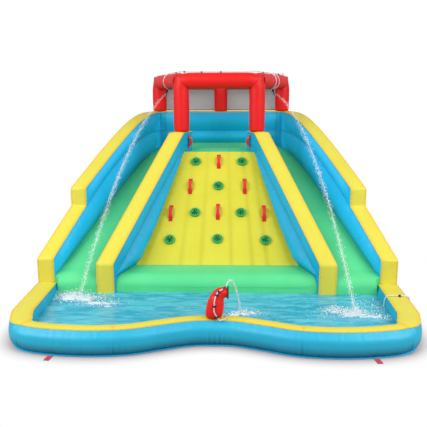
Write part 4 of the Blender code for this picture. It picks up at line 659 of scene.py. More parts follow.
def repeat_tree():
    """A tree that puts a shape on every point, aimed and sized by the points' own values."""
    tree = bpy.data.node_groups.new("repeat shape", "GeometryNodeTree")
    tree.is_modifier = True
    for label, kind in (
        ("Points", "Geometry"), ("Shape", "Object"), ("Material", "Material"), ("Size", "Float")
    ):
        tree.interface.new_socket(label, in_out="INPUT", socket_type="NodeSocket" + kind)
    tree.interface.new_socket("Geometry", in_out="OUTPUT", socket_type="NodeSocketGeometry")
    start = add(tree, "NodeGroupInput")
    aim, lift, size = (
        add(tree, "GeometryNodeInputNamedAttribute", {"Name": label}, data_type="FLOAT_VECTOR")
        for label in ("aim", "lift", "size")
    )
    turn = add(
        tree,
        "FunctionNodeAxesToRotation",
        {"Primary Axis": aim.outputs["Attribute"], "Secondary Axis": lift.outputs["Attribute"]},
        primary_axis="X",
        secondary_axis="Z",
    )
    scaled = add(
        tree,
        "ShaderNodeVectorMath",
        {0: size.outputs["Attribute"], "Scale": start.outputs["Size"]},
        operation="SCALE",
    )
    shape = add(tree, "GeometryNodeObjectInfo", {"Object": start.outputs["Shape"]})
    placed = add(
        tree,
        "GeometryNodeInstanceOnPoints",
        {
            "Points": start.outputs["Points"],
            "Instance": shape.outputs["Geometry"],
            "Rotation": turn.outputs["Rotation"],
            "Scale": scaled.outputs["Vector"],
        },
    )
    real = add(tree, "GeometryNodeRealizeInstances", {"Geometry": placed.outputs["Instances"]})
    dressed = add(
        tree,
        "GeometryNodeSetMaterial",
        {"Geometry": real.outputs["Geometry"], "Material": start.outputs["Material"]},
    )
    add(tree, "NodeGroupOutput", {"Geometry": dressed.outputs["Geometry"]})
    return tree


REPEAT = repeat_tree()
INPUTS = {item.name: item.identifier for item in REPEAT.interface.items_tree if item.in_out == "INPUT"}


def small_shape(kind):
    """A unit shape along X for repeating: a bar, a drop or a stitch."""
    work = bmesh.new()
    if kind == "drop":
        bmesh.ops.create_icosphere(work, subdivisions=1, radius=0.5)
    else:
        bmesh.ops.create_cube(work, size=1.0)
    if kind == "stitch":
        for v in work.verts:
            if v.co.z < 0:
                v.co.x *= 0.7
            else:
                v.co.y *= 0.7
    data = bpy.data.meshes.new("unit_" + kind)
    work.to_mesh(data)
    work.free()
    if kind == "drop":
        data.shade_smooth()
    return put("unit_" + kind, data)


SHAPES = {kind: small_shape(kind) for kind in ("bar", "drop", "stitch")}


def repeated(name, kind, points, aims, lifts, sizes, material, body="park"):
    """One mesh of a small shape on every point."""
    data = bpy.data.meshes.new(name + "_places")
    data.from_pydata([tuple(p) for p in points], [], [])
    for label, values in (("aim", aims), ("lift", lifts), ("size", sizes)):
        layer = data.attributes.new(label, "FLOAT_VECTOR", "POINT")
        layer.data.foreach_set("vector", np.asarray([tuple(v) for v in values], np.float32).ravel())
    carrier = put(name + "_places", data)
    change = carrier.modifiers.new("repeat", "NODES")
    change.node_group = REPEAT
    change[INPUTS["Shape"]] = SHAPES[kind]
    change[INPUTS["Material"]] = material
    change[INPUTS["Size"]] = 1.0
    real = bpy.data.meshes.new_from_object(carrier.evaluated_get(bpy.context.evaluated_depsgraph_get()))
    bpy.data.objects.remove(carrier)
    for label in ("aim", "lift", "size"):
        if label in real.attributes:
            real.attributes.remove(real.attributes[label])
    made = put(name, real)
    if body:
        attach(made, body)
    return made


class Stitches:
    """Collects stitches for one body, to make them all at once."""

    def __init__(self):
        self.points, self.aims, self.lifts, self.sizes = [], [], [], []

    def follow(self, points, normals, pitch=0.013, length=0.008, wide=0.0017):
        """A row along a line on a skin, drawn coarser than the real 4 mm stitch so that it shows."""
        lengths = [0.0]
        for a, b in zip(points, points[1:]):
            lengths.append(lengths[-1] + (b - a).length)
        k = 0
        for n in range(int(lengths[-1] / pitch)):
            want = (n + 0.5) * pitch
            while lengths[k + 1] < want:
                k += 1
            share = (want - lengths[k]) / (lengths[k + 1] - lengths[k])
            out = mix(normals[k], normals[k + 1], share).normalized()
            self.points.append(mix(points[k], points[k + 1], share) + out * wide * 0.2)
            self.aims.append((points[k + 1] - points[k]).normalized())
            self.lifts.append(out)
            self.sizes.append((length, wide, wide * 0.8))

    def row(self, a, b, out, pitch=0.0065, length=0.0045, wide=0.0014):
        a, b = Vector(a), Vector(b)
        count = max(1, round((b - a).length / pitch))
        for k in range(count):
            self.points.append(mix(a, b, (k + 0.5) / count) + Vector(out) * wide * 0.3)
            self.aims.append((b - a).normalized())
            self.lifts.append(out)
            self.sizes.append((length, wide, wide * 0.8))

    def box(self, place, low, high, lift=0.0):
        """A sewn box with its cross, in a placing frame's plane."""
        out = place.to_3x3().col[2].normalized()
        corners = [
            place @ Vector((x, y, lift))
            for x, y in ((low[0], low[1]), (high[0], low[1]), (high[0], high[1]), (low[0], high[1]))
        ]
        for a, b in zip(corners, corners[1:] + corners[:1]):
            self.row(a, b, out)
        self.row(corners[0], corners[2], out)
        self.row(corners[1], corners[3], out)


band_stitches, strap_stitches = Stitches(), Stitches()


def lobe(x, out, low, high, swell, steps):
    """Points up one swelling stretch of a wall's face, without its upper end."""
    reach = min(swell, 0.35 * (high - low))
    return [
        (x + out * reach * math.sin(math.pi * k / steps) ** 0.85, mix(low, high, k / steps))
        for k in range(steps)
    ]


def spaced(low, high, step):
    count = max(2, math.ceil((high - low) / step))
    return [mix(low, high, k / count) for k in range(count + 1)]


def curve_stretches(points):
    """The four points that shape each stretch of a smooth curve, which runs on straight at its ends."""
    ends = [2 * points[0] - points[1], *points, 2 * points[-1] - points[-2]]
    return [ends[k : k + 4] for k in range(len(points) - 1)]


def on_curve(p0, p1, p2, p3, t):
    """Place at a share of the stretch from p1 to p2."""
    bend = (2 * p0 - 5 * p1 + 4 * p2 - p3) * t**2 + (3 * p1 - p0 - 3 * p2 + p3) * t**3
    return 0.5 * (2 * p1 + (p2 - p0) * t + bend)


# Pool
def even_points(points, count, parts=24):
    """Evenly spaced points of a smooth curve through the given ones."""
    points = [Vector(p) for p in points]
    fine = (
        [on_curve(*four, n / parts) for four in curve_stretches(points) for n in range(parts)] + [points[-1]]
    )
    lengths = [0.0]
    for a, b in zip(fine, fine[1:]):
        lengths.append(lengths[-1] + (b - a).length)
    made = []
    k = 0
    for n in range(count + 1):
        want = lengths[-1] * n / count
        while k + 2 < len(lengths) and lengths[k + 1] < want:
            k += 1
        made.append(mix(fine[k], fine[k + 1], (want - lengths[k]) / (lengths[k + 1] - lengths[k])))
    return made


def pool_path(count):
    half = (
        (0.0, POOL_NOTCH_Y),
        (0.22, POOL_NOTCH_Y - 0.012),
        (0.50, mix(POOL_NOTCH_Y, POOL_LOBE_Y, 0.42)),
        (0.82, mix(POOL_NOTCH_Y, POOL_LOBE_Y, 0.87)),
        (POOL_LOBE_X, POOL_LOBE_Y),
        (mix(POOL_LOBE_X, POOL_CORNER_X, 0.62), mix(POOL_LOBE_Y, POOL_CORNER_Y, 0.30)),
        (POOL_CORNER_X, POOL_CORNER_Y),
        (POOL_ARM_X - 0.012, POOL_CORNER_Y + 0.24),
        (POOL_ARM_X, POOL_CORNER_Y + 0.44),
        (POOL_ARM_X, WALL_FRONT_Y - GAP),
    )
    points = [(-x, y, 0.0) for x, y in half[:0:-1]] + [(x, y, 0.0) for x, y in half]
    return even_points(points, count)


def path_frames(path):
    """Each point of a plan path with its outward normal, left to right round the front."""
    found = []
    for k, point in enumerate(path):
        along = (path[min(k + 1, len(path) - 1)] - path[max(k - 1, 0)]).normalized()
        if k in (0, len(path) - 1):
            along = Vector((0.0, 1.0 if k else -1.0, 0.0))
        found.append((point, Vector((along.y, -along.x, 0.0))))
    return found


def band_width(normal):
    return mix(POOL_BAND_FRONT, POOL_BAND_ARM, ease((abs(normal.x) - 0.45) / 0.5))


def smooth_line(points, steps):
    """Finer points of a smooth line through plane points, ends included."""
    points = [Vector((*p, 0.0)) for p in points]
    found = [on_curve(*four, n / steps) for four in curve_stretches(points) for n in range(steps)]
    return [(p.x, p.y) for p in found + [points[-1]]]


POOL_FINE = 1200
pool = path_frames(pool_path(POOL_FINE))
middle_z = mix(FLOOR_Z, POOL_H, 0.5)
grid, band_stations = [], []
for point, normal in pool:
    band, half = band_width(normal), POOL_TUBE_W / 2
    side = smooth_line(
        (
            (POOL_FOOT_W / 2, FLOOR_Z),
            (half * 0.90, mix(FLOOR_Z, middle_z, 0.42)),
            (half, middle_z),
            (half * 0.94, mix(middle_z, POOL_H, 0.55)),
            (band / 2, POOL_H),
        ),
        6,
    )
    outline = side + [(-s, z) for s, z in side[::-1]]
    grid.append([point + normal * s + Vector((0, 0, z)) for s, z in outline])
    top = point + Vector((0, 0, POOL_H))
    band_stations.append((top - normal * band / 2, top + normal * band / 2, Vector((0, 0, 1))))
edge = len(side) - 1
# Panels of the tube are joined upright where the photograph shows it
JOIN_XS = (-1.78, -0.93, -0.03, 0.06, 0.85, 1.78)
joins = [min(range(len(pool)), key=lambda n: abs(pool[n][0].x - x) + (pool[n][0].y > -0.9)) for x in JOIN_XS]
grid = np.array([[list(p) for p in ring] for ring in grid])
reaches = run_length(grid, 0)[:, 0]
inwards = np.array([list(n) for _, n in pool])
centres = np.array([list(p) for p, _ in pool])
crease = np.zeros(grid.shape[:2])
# A deep crease at each join and lesser ones beside it: place along the tube, depth and width
JOIN_CREASES = ((0.0, 0.012, 0.010), (-0.045, 0.005, 0.013), (0.05, 0.004, 0.015), (0.105, 0.002, 0.018))
for number, join in enumerate(joins):
    low_half = np.clip((0.62 * POOL_H - grid[:, :, 2]) / (0.30 * POOL_H), 0, 1)
    low_half = low_half * np.clip((grid[:, :, 2] - FLOOR_Z) / 0.02, 0, 1)
    for shift, depth, wide in JOIN_CREASES:
        off = (reaches - reaches[join] - shift * (1 if number % 2 else -1)) / wide
        crease += depth * np.exp(-(off**2))[:, None] * low_half
away = grid - centres[:, None, :]
sided = np.sign(np.einsum("ijk,ik->ij", away, inwards))
grid -= inwards[:, None, :] * (sided * crease)[:, :, None]
pool_wall = skin(
    "pool_tube",
    grid,
    POOL_BLUE,
    seams_v=(0, edge, edge + 1, 2 * edge + 1),
    fold=(0.003, 0.085, 0.028),
    seed=3,
)
# Painted shade: the lower half of the tube darkens towards the floor in the fabric's third colour
paint_shade(pool_wall, lambda x, y, z: np.clip((0.50 * POOL_H - z) / (0.46 * POOL_H), 0, 1) ** 0.8)
stands_for(pool_wall, "pool_wall")


def refined(stations, step):
    """Band stations no further apart than a step."""
    found = []
    for (a, b, n), (c, d, m) in zip(stations, stations[1:]):
        count = max(1, math.ceil(max((c - a).length, (d - b).length) / step))
        found += [(mix(a, c, k / count), mix(b, d, k / count), mix(n, m, k / count)) for k in range(count)]
    return found + [stations[-1]]


def band(name, node, stations, seams_u=(), across=14, fold=(0.0022, 0.06, 0.022), seed=5, crown=CAP_CROWN):
    """A yellow band: crowned between two sewn edges, its fabric turned under at both."""
    rings = []
    for inner, outer, normal in stations:
        ring = []
        for k in range(across + 1):
            u = k / across
            lift = CAP_T + crown * (1 - abs(2 * u - 1) ** 2.4)
            ring.append(mix(inner, outer, u) + normal * (GAP + lift))
        ring.append(outer + normal * (GAP + CAP_T * 0.5))
        ring += [outer + normal * GAP, inner + normal * GAP]
        ring.append(inner + normal * (GAP + CAP_T * 0.5))
        rings.append(ring)
    made = skin(
        name, rings, YELLOW, seams_v=(0, across), seams_u=seams_u, fold=fold, seed=seed, sew=(1, across - 1)
    )
    return stands_for(made, node)


band("pool_top_band", "pool_band", band_stations, seams_u=joins)


# Walls with rounded front corners
def rounded(path, radius, steps=6):
    """A plane path with its corners made arcs, where they turn by more than 25 degrees."""
    points = [Vector(p) for p in path]
    found = [points[0]]
    for before, at, after in zip(points, points[1:], points[2:]):
        way_in, way_out = (at - before).normalized(), (after - at).normalized()
        angle = way_in.angle(way_out)
        if angle < math.radians(25):
            found.append(at)
            continue
        back = min(radius * math.tan(angle / 2), 0.45 * (at - before).length, 0.45 * (after - at).length)
        start, end = at - way_in * back, at + way_out * back
        for k in range(steps + 1):
            t = k / steps
            found.append(start * (1 - t) ** 2 + at * 2 * t * (1 - t) + end * t * t)
    return found + [points[-1]]


def line_frames(path):
    """Points of a plane path with the outward normal at each."""
    found = []
    for k, point in enumerate(path):
        near = path[max(k - 1, 0) : k + 2]
        steps = [b - a for a, b in zip(near, near[1:])]
        normals = [Vector((-d.y, d.x)).normalized() for d in steps]
        total = sum(normals, Vector((0.0, 0.0)))
        found.append((point, total / total.dot(normals[0])))
    return found


CORNER_R = 0.035
lower_path = rounded(
    [(WALL_FRONT_Y, FLOOR_Z)] + [(y, seam_z(y)) for y in spaced(WALL_FRONT_Y, STEP_Y, 0.05)], CORNER_R
)
upper_path = rounded(
    [(STEP_Y, seam_z(STEP_Y))] + [(y, rim_z(y)) for y in spaced(STEP_Y, BACK_FRONT_Y, 0.05)], CORNER_R
)


def top_of(path, y, otherwise):
    """Height of a path at y, for the rounded front of a wall."""
    for a, b in zip(path, path[1:]):
        if a.x - 1e-5 <= y <= b.x + 1e-5 and b.x > a.x + 1e-4:
            return mix(a.y, b.y, min(1.0, max(0.0, (y - a.x) / (b.x - a.x))))
    return otherwise


def swell_at(y, low, high, length):
    return min(ease((y - low) / length + 0.15), ease((high - y) / length))


def wall_grid(ys, side, faces):
    """Rings up a wall's outer face and down its inner face. faces(y) gives both, as swelling stretches."""
    rings = []
    for y in ys:
        outer_x, inner_x, outer, inner = faces(y)
        ring = []
        for low, high, swell, steps in outer:
            ring += lobe(outer_x, 1, low, high, swell, steps)
        ring.append((outer_x, outer[-1][1]))
        down = []
        for low, high, swell, steps in inner:
            down += lobe(inner_x, -1, low, high, swell, steps)
        down.append((inner_x, inner[-1][1]))
        rings.append([(side * x, y, z) for x, z in ring + down[::-1]])
    return np.array(rings)


# Stations stand close together behind the front edge of a wall
EDGE_STEPS = (0.0, 0.002, 0.006, 0.012, 0.022, 0.035)
for label, side in SIDES:
    ys = [WALL_FRONT_Y + d for d in EDGE_STEPS] + spaced(WALL_FRONT_Y + 0.05, WALL_BACK_Y, 0.014)

    def lower_faces(y):
        top = (top_of(lower_path, y, seam_z(y)) if y < STEP_Y else seam_z(y)) - UNDER_BAND
        lane_z = beside_slide(y)
        out = WALL_BULGE * swell_at(y, WALL_FRONT_Y, WALL_BACK_Y, 0.3)
        into = WALL_BULGE * swell_at(y, WALL_FRONT_Y, BACK_FRONT_Y - 0.06, 0.3)
        outer = ((FLOOR_Z, lane_z, out, 14), (lane_z, top, out, 14))
        return wall_outer_x(y), wall_inner_x(y), outer, ((FLOOR_Z, lane_z, 0.0, 4), (lane_z, top, into, 16))

    made = skin(
        f"lower_wall_{label}",
        wall_grid(ys, side, lower_faces),
        LIT_SIDE_WALL_BLUE,
        seams_v=(0, 14, 28, 29, 45),
        fold=(0.0045, 0.075, 0.03),
        seed=11 + side,
    )
    stands_for(made, f"side_wall_lower_{label}")
    ys = [STEP_Y + d for d in EDGE_STEPS] + spaced(STEP_Y + 0.05, WALL_BACK_Y, 0.014)

    def upper_faces(y):
        low = seam_z(max(y, STEP_Y + 0.018)) + GAP + UNDER_BAND
        top = (top_of(upper_path, y, RIM_Z) if y < BACK_FRONT_Y else RIM_Z) - UNDER_BAND
        out = WALL_BULGE * swell_at(y, STEP_Y, WALL_BACK_Y, 0.25)
        into = WALL_BULGE * swell_at(y, STEP_Y, BACK_FRONT_Y - 0.06, 0.25)
        return wall_outer_x(y), wall_inner_x(y), ((low, top, out, 16),), ((low, top, into, 16),)

    made = skin(
        f"upper_wall_{label}",
        wall_grid(ys, side, upper_faces),
        LIT_SIDE_WALL_BLUE,
        seams_v=(0, 16, 17, 33),
        fold=(0.0045, 0.075, 0.03),
        seed=21 + side,
    )
    stands_for(made, f"side_wall_upper_{label}")

# Back wall between them
BACK_STEPS = 70
rings = []
for k in range(-BACK_STEPS, BACK_STEPS + 1):
    u = k / BACK_STEPS
    swell = BACK_BULGE * (1 - abs(u) ** 3)
    ring = []
    for low, high, much, steps in (
        (FLOOR_Z, BACK_PANEL_Z, 0.0, 4),
        (BACK_PANEL_Z, 1.02, swell, 12),
        (1.02, SEAM_Z, swell, 12),
        (SEAM_Z, RIM_Z, swell, 12),
    ):
        ring += lobe(WALL_BACK_Y, 1, low, high, much, steps)
    ring.append((WALL_BACK_Y, RIM_Z - UNDER_BAND))
    down = []
    inner = ((FLOOR_Z, PLATFORM_Z, 0.0, 4), (PLATFORM_Z, SEAM_Z, swell, 12), (SEAM_Z, RIM_Z, swell, 12))
    for low, high, much, steps in inner:
        down += lobe(BACK_FRONT_Y, -1, low, high, much, steps)
    down.append((BACK_FRONT_Y, RIM_Z - UNDER_BAND))
    rings.append([(u * (wall_inner_x(min(y, WALL_BACK_Y)) - GAP), y, z) for y, z in ring + down[::-1]])
back = skin(
    "back_wall_skin",
    rings,
    BLUE,
    seams_v=(4, 16, 28, 40, 41, 53, 65),
    seams_u=(6, 134),
    fold=(0.0045, 0.08, 0.03),
    seed=31,
)
stands_for(back, "back_wall")


# Slides, cushion, climbing wall and platform
def lane_grid(ys, low_x, high_x, top, crown, side=1, across=32, power=2.0):
    rings = []
    for y in ys:
        a, b = low_x(y), high_x(y)
        ring = [(side * a, y, FLOOR_Z), (side * a, y, mix(FLOOR_Z, top(y), 0.6))]
        for k in range(across + 1):
            u = 2 * k / across - 1
            ring.append((side * mix(a, b, k / across), y, top(y) + crown(y) * (1 - abs(u) ** power)))
        ring += [(side * b, y, mix(FLOOR_Z, top(y), 0.6)), (side * b, y, FLOOR_Z)]
        rings.append(ring)
    return np.array(rings)


def nose_ys(front, radius, count=9):
    return [front + radius * (1 - math.cos(math.radians(90 * k / count))) for k in range(count)]


def nosed(y, front, radius, level):
    """Height of a rounded front end."""
    if y >= front + radius:
        return level(y)
    return (
        level(front + radius) - radius * (1 - math.sqrt(max(0.0, 1 - ((front + radius - y) / radius) ** 2)))
    )


for label, side in SIDES:

    def slide_in(y):
        return (divider_outer_x(y) if y < DIVIDER_BACK_Y else PLATFORM_HALF_W) + GAP + BESIDE

    def slide_out(y):
        return (POOL_ARM_X - POOL_TUBE_W / 2 if y < WALL_FRONT_Y else wall_inner_x(y)) - GAP - BESIDE

    start = SLIDE_FRONT_Y + SLIDE_NOSE_R
    ys = nose_ys(SLIDE_FRONT_Y, SLIDE_NOSE_R) + spaced(start, BACK_FRONT_Y - BESIDE, 0.016)
    ys = sorted(ys + [y + d for y in (WALL_FRONT_Y, DIVIDER_BACK_Y) for d in (-BESIDE, BESIDE)])
    made = skin(
        f"slide_lane_{label}",
        lane_grid(
            ys,
            slide_in,
            slide_out,
            lambda y: nosed(y, SLIDE_FRONT_Y, SLIDE_NOSE_R, slide_z),
            lambda y: SLIDE_CROWN * ease((y - SLIDE_FRONT_Y) / 0.3),
            side,
        ),
        GREEN,
        seams_v=(2, 34),
        fold=(0.0035, 0.07, 0.03),
        seed=41 + side,
    )
    stands_for(made, f"slide_{label}")

    # Divider and its band
    path = [(DIVIDER_FRONT_Y, FLOOR_Z + 0.01)]
    path += [(y, divider_z(y)) for y in (DIVIDER_FRONT_Y, 0.5, 1.0, DIVIDER_TOP_Y, DIVIDER_BACK_Y)]
    divider_path = rounded(path, 0.05)
    ys = [DIVIDER_FRONT_Y + d for d in (0.0, 0.002, 0.006, 0.013, 0.024, 0.038)]
    ys += spaced(DIVIDER_FRONT_Y + 0.05, DIVIDER_BACK_Y, 0.013)

    def divider_faces(y):
        top, lane_z = top_of(divider_path, y, divider_z(y)) - UNDER_BAND, beside_slide(y)
        climb = climb_z(y) + EDGE_CLEAR
        crease = max(divider_z(y) - DIVIDER_CREASE, climb + EDGE_CLEAR, lane_z + EDGE_CLEAR)
        level = 1 - ease((y - (DIVIDER_TOP_Y - 0.35)) / 0.35)
        start = ease((y - DIVIDER_FRONT_Y) / 0.3)
        low_swell, top_swell = DIVIDER_BULGE * level * start, DIVIDER_TOP_BULGE * level * start
        above = (crease, max(top, crease + 0.004), top_swell, 10)
        outer = ((FLOOR_Z, lane_z, 0.0, 4), (lane_z, crease, top_swell, 12), above)
        inner = ((FLOOR_Z, climb, 0.0, 4), (climb, crease, low_swell, 14), above)
        return divider_outer_x(y), divider_inner_x(y), outer, inner

    made = skin(
        f"divider_skin_{label}",
        wall_grid(ys, side, divider_faces),
        BLUE,
        seams_v=(16, 26, 27, 37, 51),
        fold=(0.0045, 0.07, 0.028),
        seed=51 + side,
    )
    stands_for(made, f"divider_wall_{label}")
    stations = []
    for point, normal in line_frames(divider_path):
        inner = Vector((side * divider_inner_x(point.x), point.x, point.y))
        outer = Vector((side * divider_outer_x(point.x), point.x, point.y))
        stations.append((inner, outer, Vector((0, normal.x, normal.y))))
    band(f"divider_top_band_{label}", f"divider_band_{label}", refined(stations, 0.014), seed=61 + side)


def inner_half(y):
    return divider_inner_x(y) - GAP - BESIDE


ys = nose_ys(CUSHION_FRONT_Y, CUSHION_R) + spaced(CUSHION_FRONT_Y + CUSHION_R, CLIMB_FRONT_Y - BESIDE, 0.013)
cushion = skin(
    "landing_cushion_skin",
    lane_grid(
        ys,
        lambda y: -inner_half(y),
        inner_half,
        lambda y: nosed(y, CUSHION_FRONT_Y, CUSHION_R, climb_z),
        lambda y: 0.012 * ease((y - CUSHION_FRONT_Y) / 0.08) * ease((CLIMB_FRONT_Y - y) / 0.12 + 0.1),
        across=96,
        power=6.0,
    ),
    GREEN,
    seams_v=(2, 98),
    fold=(0.006, 0.07, 0.035),
    seed=71,
)
stands_for(cushion, "landing_cushion")

SLOPE = math.atan2(PLATFORM_Z - CLIMB_FOOT_Z, PLATFORM_FRONT_Y - CLIMB_FRONT_Y)


def climb_swell(y):
    t = 2 * (y - CLIMB_FRONT_Y) / (PLATFORM_FRONT_Y - CLIMB_FRONT_Y) - 1
    return CLIMB_CROWN * (1 - t**4)


def on_climb(along, x):
    """Place on the climbing wall, without its dimples."""
    y = CLIMB_FRONT_Y + along * math.cos(SLOPE)
    return Vector((x, y, climb_z(y) + climb_swell(y) * (1 - (x / inner_half(y)) ** 2)))


ys = [CLIMB_FRONT_Y, CLIMB_FRONT_Y + 0.006] + spaced(CLIMB_FRONT_Y + 0.014, PLATFORM_FRONT_Y - BESIDE, 0.0105)
grid = lane_grid(ys, lambda y: -inner_half(y), inner_half, climb_z, climb_swell, across=130)
# The fabric is drawn in round each hold, and less at the ends of each handle
sunk = np.zeros(grid.shape[:2])
for along, places in HOLD_ROWS:
    for x in places:
        middle = np.array(on_climb(along, x))
        away = np.linalg.norm(grid - middle, axis=2)
        angle = np.arctan2(grid[:, :, 0] - middle[0], (grid[:, :, 1] - middle[1]) * 1.4)
        pleats = 0.5 + 0.5 * np.sin(9 * angle + 2 * np.sin(3 * angle + x))
        sunk += (
            0.013 * np.exp(-((away / 0.125) ** 2))
            + 0.0050 * pleats * np.exp(-(((away - 0.090) / 0.035) ** 2))
        )
for along, places in STRAP_ROWS:
    for x in places:
        for end in (-1, 1):
            middle = np.array(on_climb(along + end * (STRAP_L - STRAP_END) / 2, x))
            sunk += 0.007 * np.exp(-((np.linalg.norm(grid - middle, axis=2) / 0.06) ** 2))
# Slack between the inner ties: upright folds at x, of a width and a depth, stronger near the foot
SLACK_FOLDS = (
    (-0.19, 0.030, 0.007),
    (0.17, 0.028, 0.008),
    (-0.43, 0.035, 0.006),
    (0.42, 0.030, 0.009),
    (0.60, 0.035, 0.008),
)
folds_in = np.zeros(grid.shape[:2])
up_share = (grid[:, :, 1] - CLIMB_FRONT_Y) / (PLATFORM_FRONT_Y - CLIMB_FRONT_Y)
for x, wide, deep in SLACK_FOLDS:
    line_x = x * (1 - 0.25 * up_share)
    folds_in += deep * np.exp(-(((grid[:, :, 0] - line_x) / wide) ** 2)) * (1.15 - 0.7 * up_share)
sunk += folds_in
sunk[:, :2] = 0
sunk[:, -2:] = 0
rise = np.array([0.0, -math.sin(SLOPE), math.cos(SLOPE)])
grid = grid - rise * np.minimum(sunk, 0.034)[:, :, None]
climb = skin("climbing_wall_skin", grid, CLIMB_YELLOW, seams_v=(2, 132), fold=(0.006, 0.08, 0.035), seed=81)
# Painted shade: the folds and the dimples round the holds and the handles' ends darken in the climbing
# yellow's third colour, which replaces the tone beside its seams
folds_in = folds_in.ravel() * 70 + np.clip(sunk.ravel() - 0.006, 0, None) * 18
paint_shade(climb, lambda x, y, z: folds_in)
stands_for(climb, "climbing_wall")


def platform_half(y):
    return inner_half(y) if y < DIVIDER_BACK_Y + BESIDE else PLATFORM_HALF_W - BESIDE


platform_mid = (PLATFORM_FRONT_Y + BACK_FRONT_Y) / 2
platform_half_l = (BACK_FRONT_Y - PLATFORM_FRONT_Y) / 2
ys = sorted(spaced(PLATFORM_FRONT_Y, BACK_FRONT_Y - BESIDE, 0.02) + [DIVIDER_BACK_Y, DIVIDER_BACK_Y + 0.002])
platform = skin(
    "platform_skin",
    lane_grid(
        ys,
        lambda y: -platform_half(y),
        platform_half,
        lambda y: PLATFORM_Z - 2 * GAP,
        lambda y: PLATFORM_CROWN * (1 - ((y - platform_mid) / platform_half_l) ** 2),
        across=48,
    ),
    GREEN,
    seams_v=(2, 50),
    seed=91,
)
stands_for(platform, "platform")

# Yellow band up the steps, over the walls and along the back
path = [(WALL_FRONT_Y, POOL_H + CAP_TOP + GAP)]
path += [(y, seam_z(y)) for y in spaced(WALL_FRONT_Y, STEP_Y, 0.05)]
path += [(y, rim_z(y)) for y in spaced(STEP_Y, BACK_FRONT_Y - BESIDE, 0.05)]
left = []
for point, normal in line_frames(rounded(path, CORNER_R)):
    inner = Vector((-wall_inner_x(point.x), point.x, point.y))
    outer = Vector((-wall_outer_x(point.x), point.x, point.y))
    left.append((inner, outer, Vector((0, normal.x, normal.y))))
flat_up = Vector((0, 0, 1))
inner = Vector((-wall_inner_x(BACK_FRONT_Y), BACK_FRONT_Y, RIM_Z))
outer = Vector((-wall_outer_x(WALL_BACK_Y), WALL_BACK_Y, RIM_Z))
left.append((inner, outer, flat_up))
right_side = [tuple(Vector((-v.x, v.y, v.z)) for v in station) for station in reversed(left)]
ends = [(Vector((x, BACK_FRONT_Y, RIM_Z)), Vector((x, WALL_BACK_Y, RIM_Z))) for x in (-0.4, 0.0, 0.4)]
middle = [(front, back, flat_up) for front, back in ends]
band("rim_top_band", "rim_band", refined(left + middle + right_side, 0.014), seed=65)


# Red frame: round tubes with mitred corners, each corner in parts
def bent_tube(points, radius, step, reach, sides=40, parts=20):
    """Rings of a tube along a path, whose corners are soft mitres, and the rows of their seams."""
    points = [Vector(p) for p in points]
    bends = [(b - a).cross(c - b).normalized() for a, b, c in zip(points, points[1:], points[2:])]
    level = bends[0] if bends else Vector((1, 0, 0))
    line, seams = [], []
    for k, (a, b) in enumerate(zip(points, points[1:])):
        way = (b - a).normalized()
        start = a + way * (reach if k else 0.0)
        end = b - way * (reach if k + 2 < len(points) else 0.0)
        count = max(2, math.ceil((end - start).length / step))
        line += [(mix(start, end, n / count), way, radius, radius) for n in range(count + 1)]
        if k + 2 < len(points):
            way_out = (points[k + 2] - b).normalized()
            first, last = b - way * reach, b + way_out * reach
            into = [level.cross(w).normalized() for w in (way, way_out)]
            for n in range(1, parts):
                t = n / parts
                place = first * (1 - t) ** 2 + b * 2 * t * (1 - t) + last * t * t
                along = ((b - first) * (1 - t) + (last - b) * t).normalized()
                across = level.cross(along).normalized()
                # Both faces stay on the straight tubes' own faces, with the outer corner rounded off
                outer = min((radius + (place - b).dot(m)) / across.dot(m) for m in into)
                nearer = into[0 if t <= 0.5 else 1]
                inner = (radius - (place - b).dot(nearer)) / across.dot(nearer)
                line.append((place, along, inner, outer * mix(1.0, 0.84, math.sin(math.pi * t) ** 2)))
                if n == parts // 2:
                    seams.append(len(line) - 1)
    rings = []
    for place, along, inner, outer in line:
        across = level.cross(along).normalized()
        lift = along.cross(across)
        ring = []
        for k in range(sides):
            a = 2 * math.pi * (k + 0.5) / sides
            reach_x = inner if math.cos(a) > 0 else outer
            ring.append(place + across * reach_x * math.cos(a) + lift * radius * math.sin(a))
        rings.append(ring)
    return np.array(rings), seams


def tucked(grid, rows, depth, reach):
    """Draws the ends of a tube in towards its middle, where they are sewn to a band."""
    made = grid.copy()
    for row, step in rows:
        length = 0.0
        here = row
        while length < reach and 0 <= here < len(grid):
            share = depth * math.exp(-length / (reach * 0.35))
            centre = grid[here].mean(axis=0)
            made[here] = grid[here] - (grid[here] - centre) * share
            if 0 <= here + step < len(grid):
                length += float(np.linalg.norm(grid[here + step].mean(axis=0) - centre))
            here += step
    return made


def end_on(grid, line, radius, tries=161):
    """Cuts both ends of a straight tube where it meets round tubes along a line."""
    line = [np.array(p) for p in line]

    def distance(point):
        best = 9.0
        for a, b in zip(line, line[1:]):
            t = np.clip(np.dot(point - a, b - a) / np.dot(b - a, b - a), 0, 1)
            best = min(best, float(np.linalg.norm(point - a - t * (b - a))))
        return best

    first, last = grid[0], grid[-1]
    starts, stops = [], []
    for a, b in zip(first, last):
        shares = np.linspace(0, 1, tries)
        free = [distance(a + (b - a) * s) > radius for s in shares]
        low = next((s for s, ok in zip(shares, free) if ok), 0.0)
        high = next((s for s, ok in zip(shares[::-1], free[::-1]) if ok), 1.0)
        starts.append(low)
        stops.append(high)
    rows = len(grid)
    made = np.empty_like(grid)
    for n in range(rows):
        for k in range(grid.shape[1]):
            made[n, k] = first[k] + (last[k] - first[k]) * mix(starts[k], stops[k], n / (rows - 1))
    return made


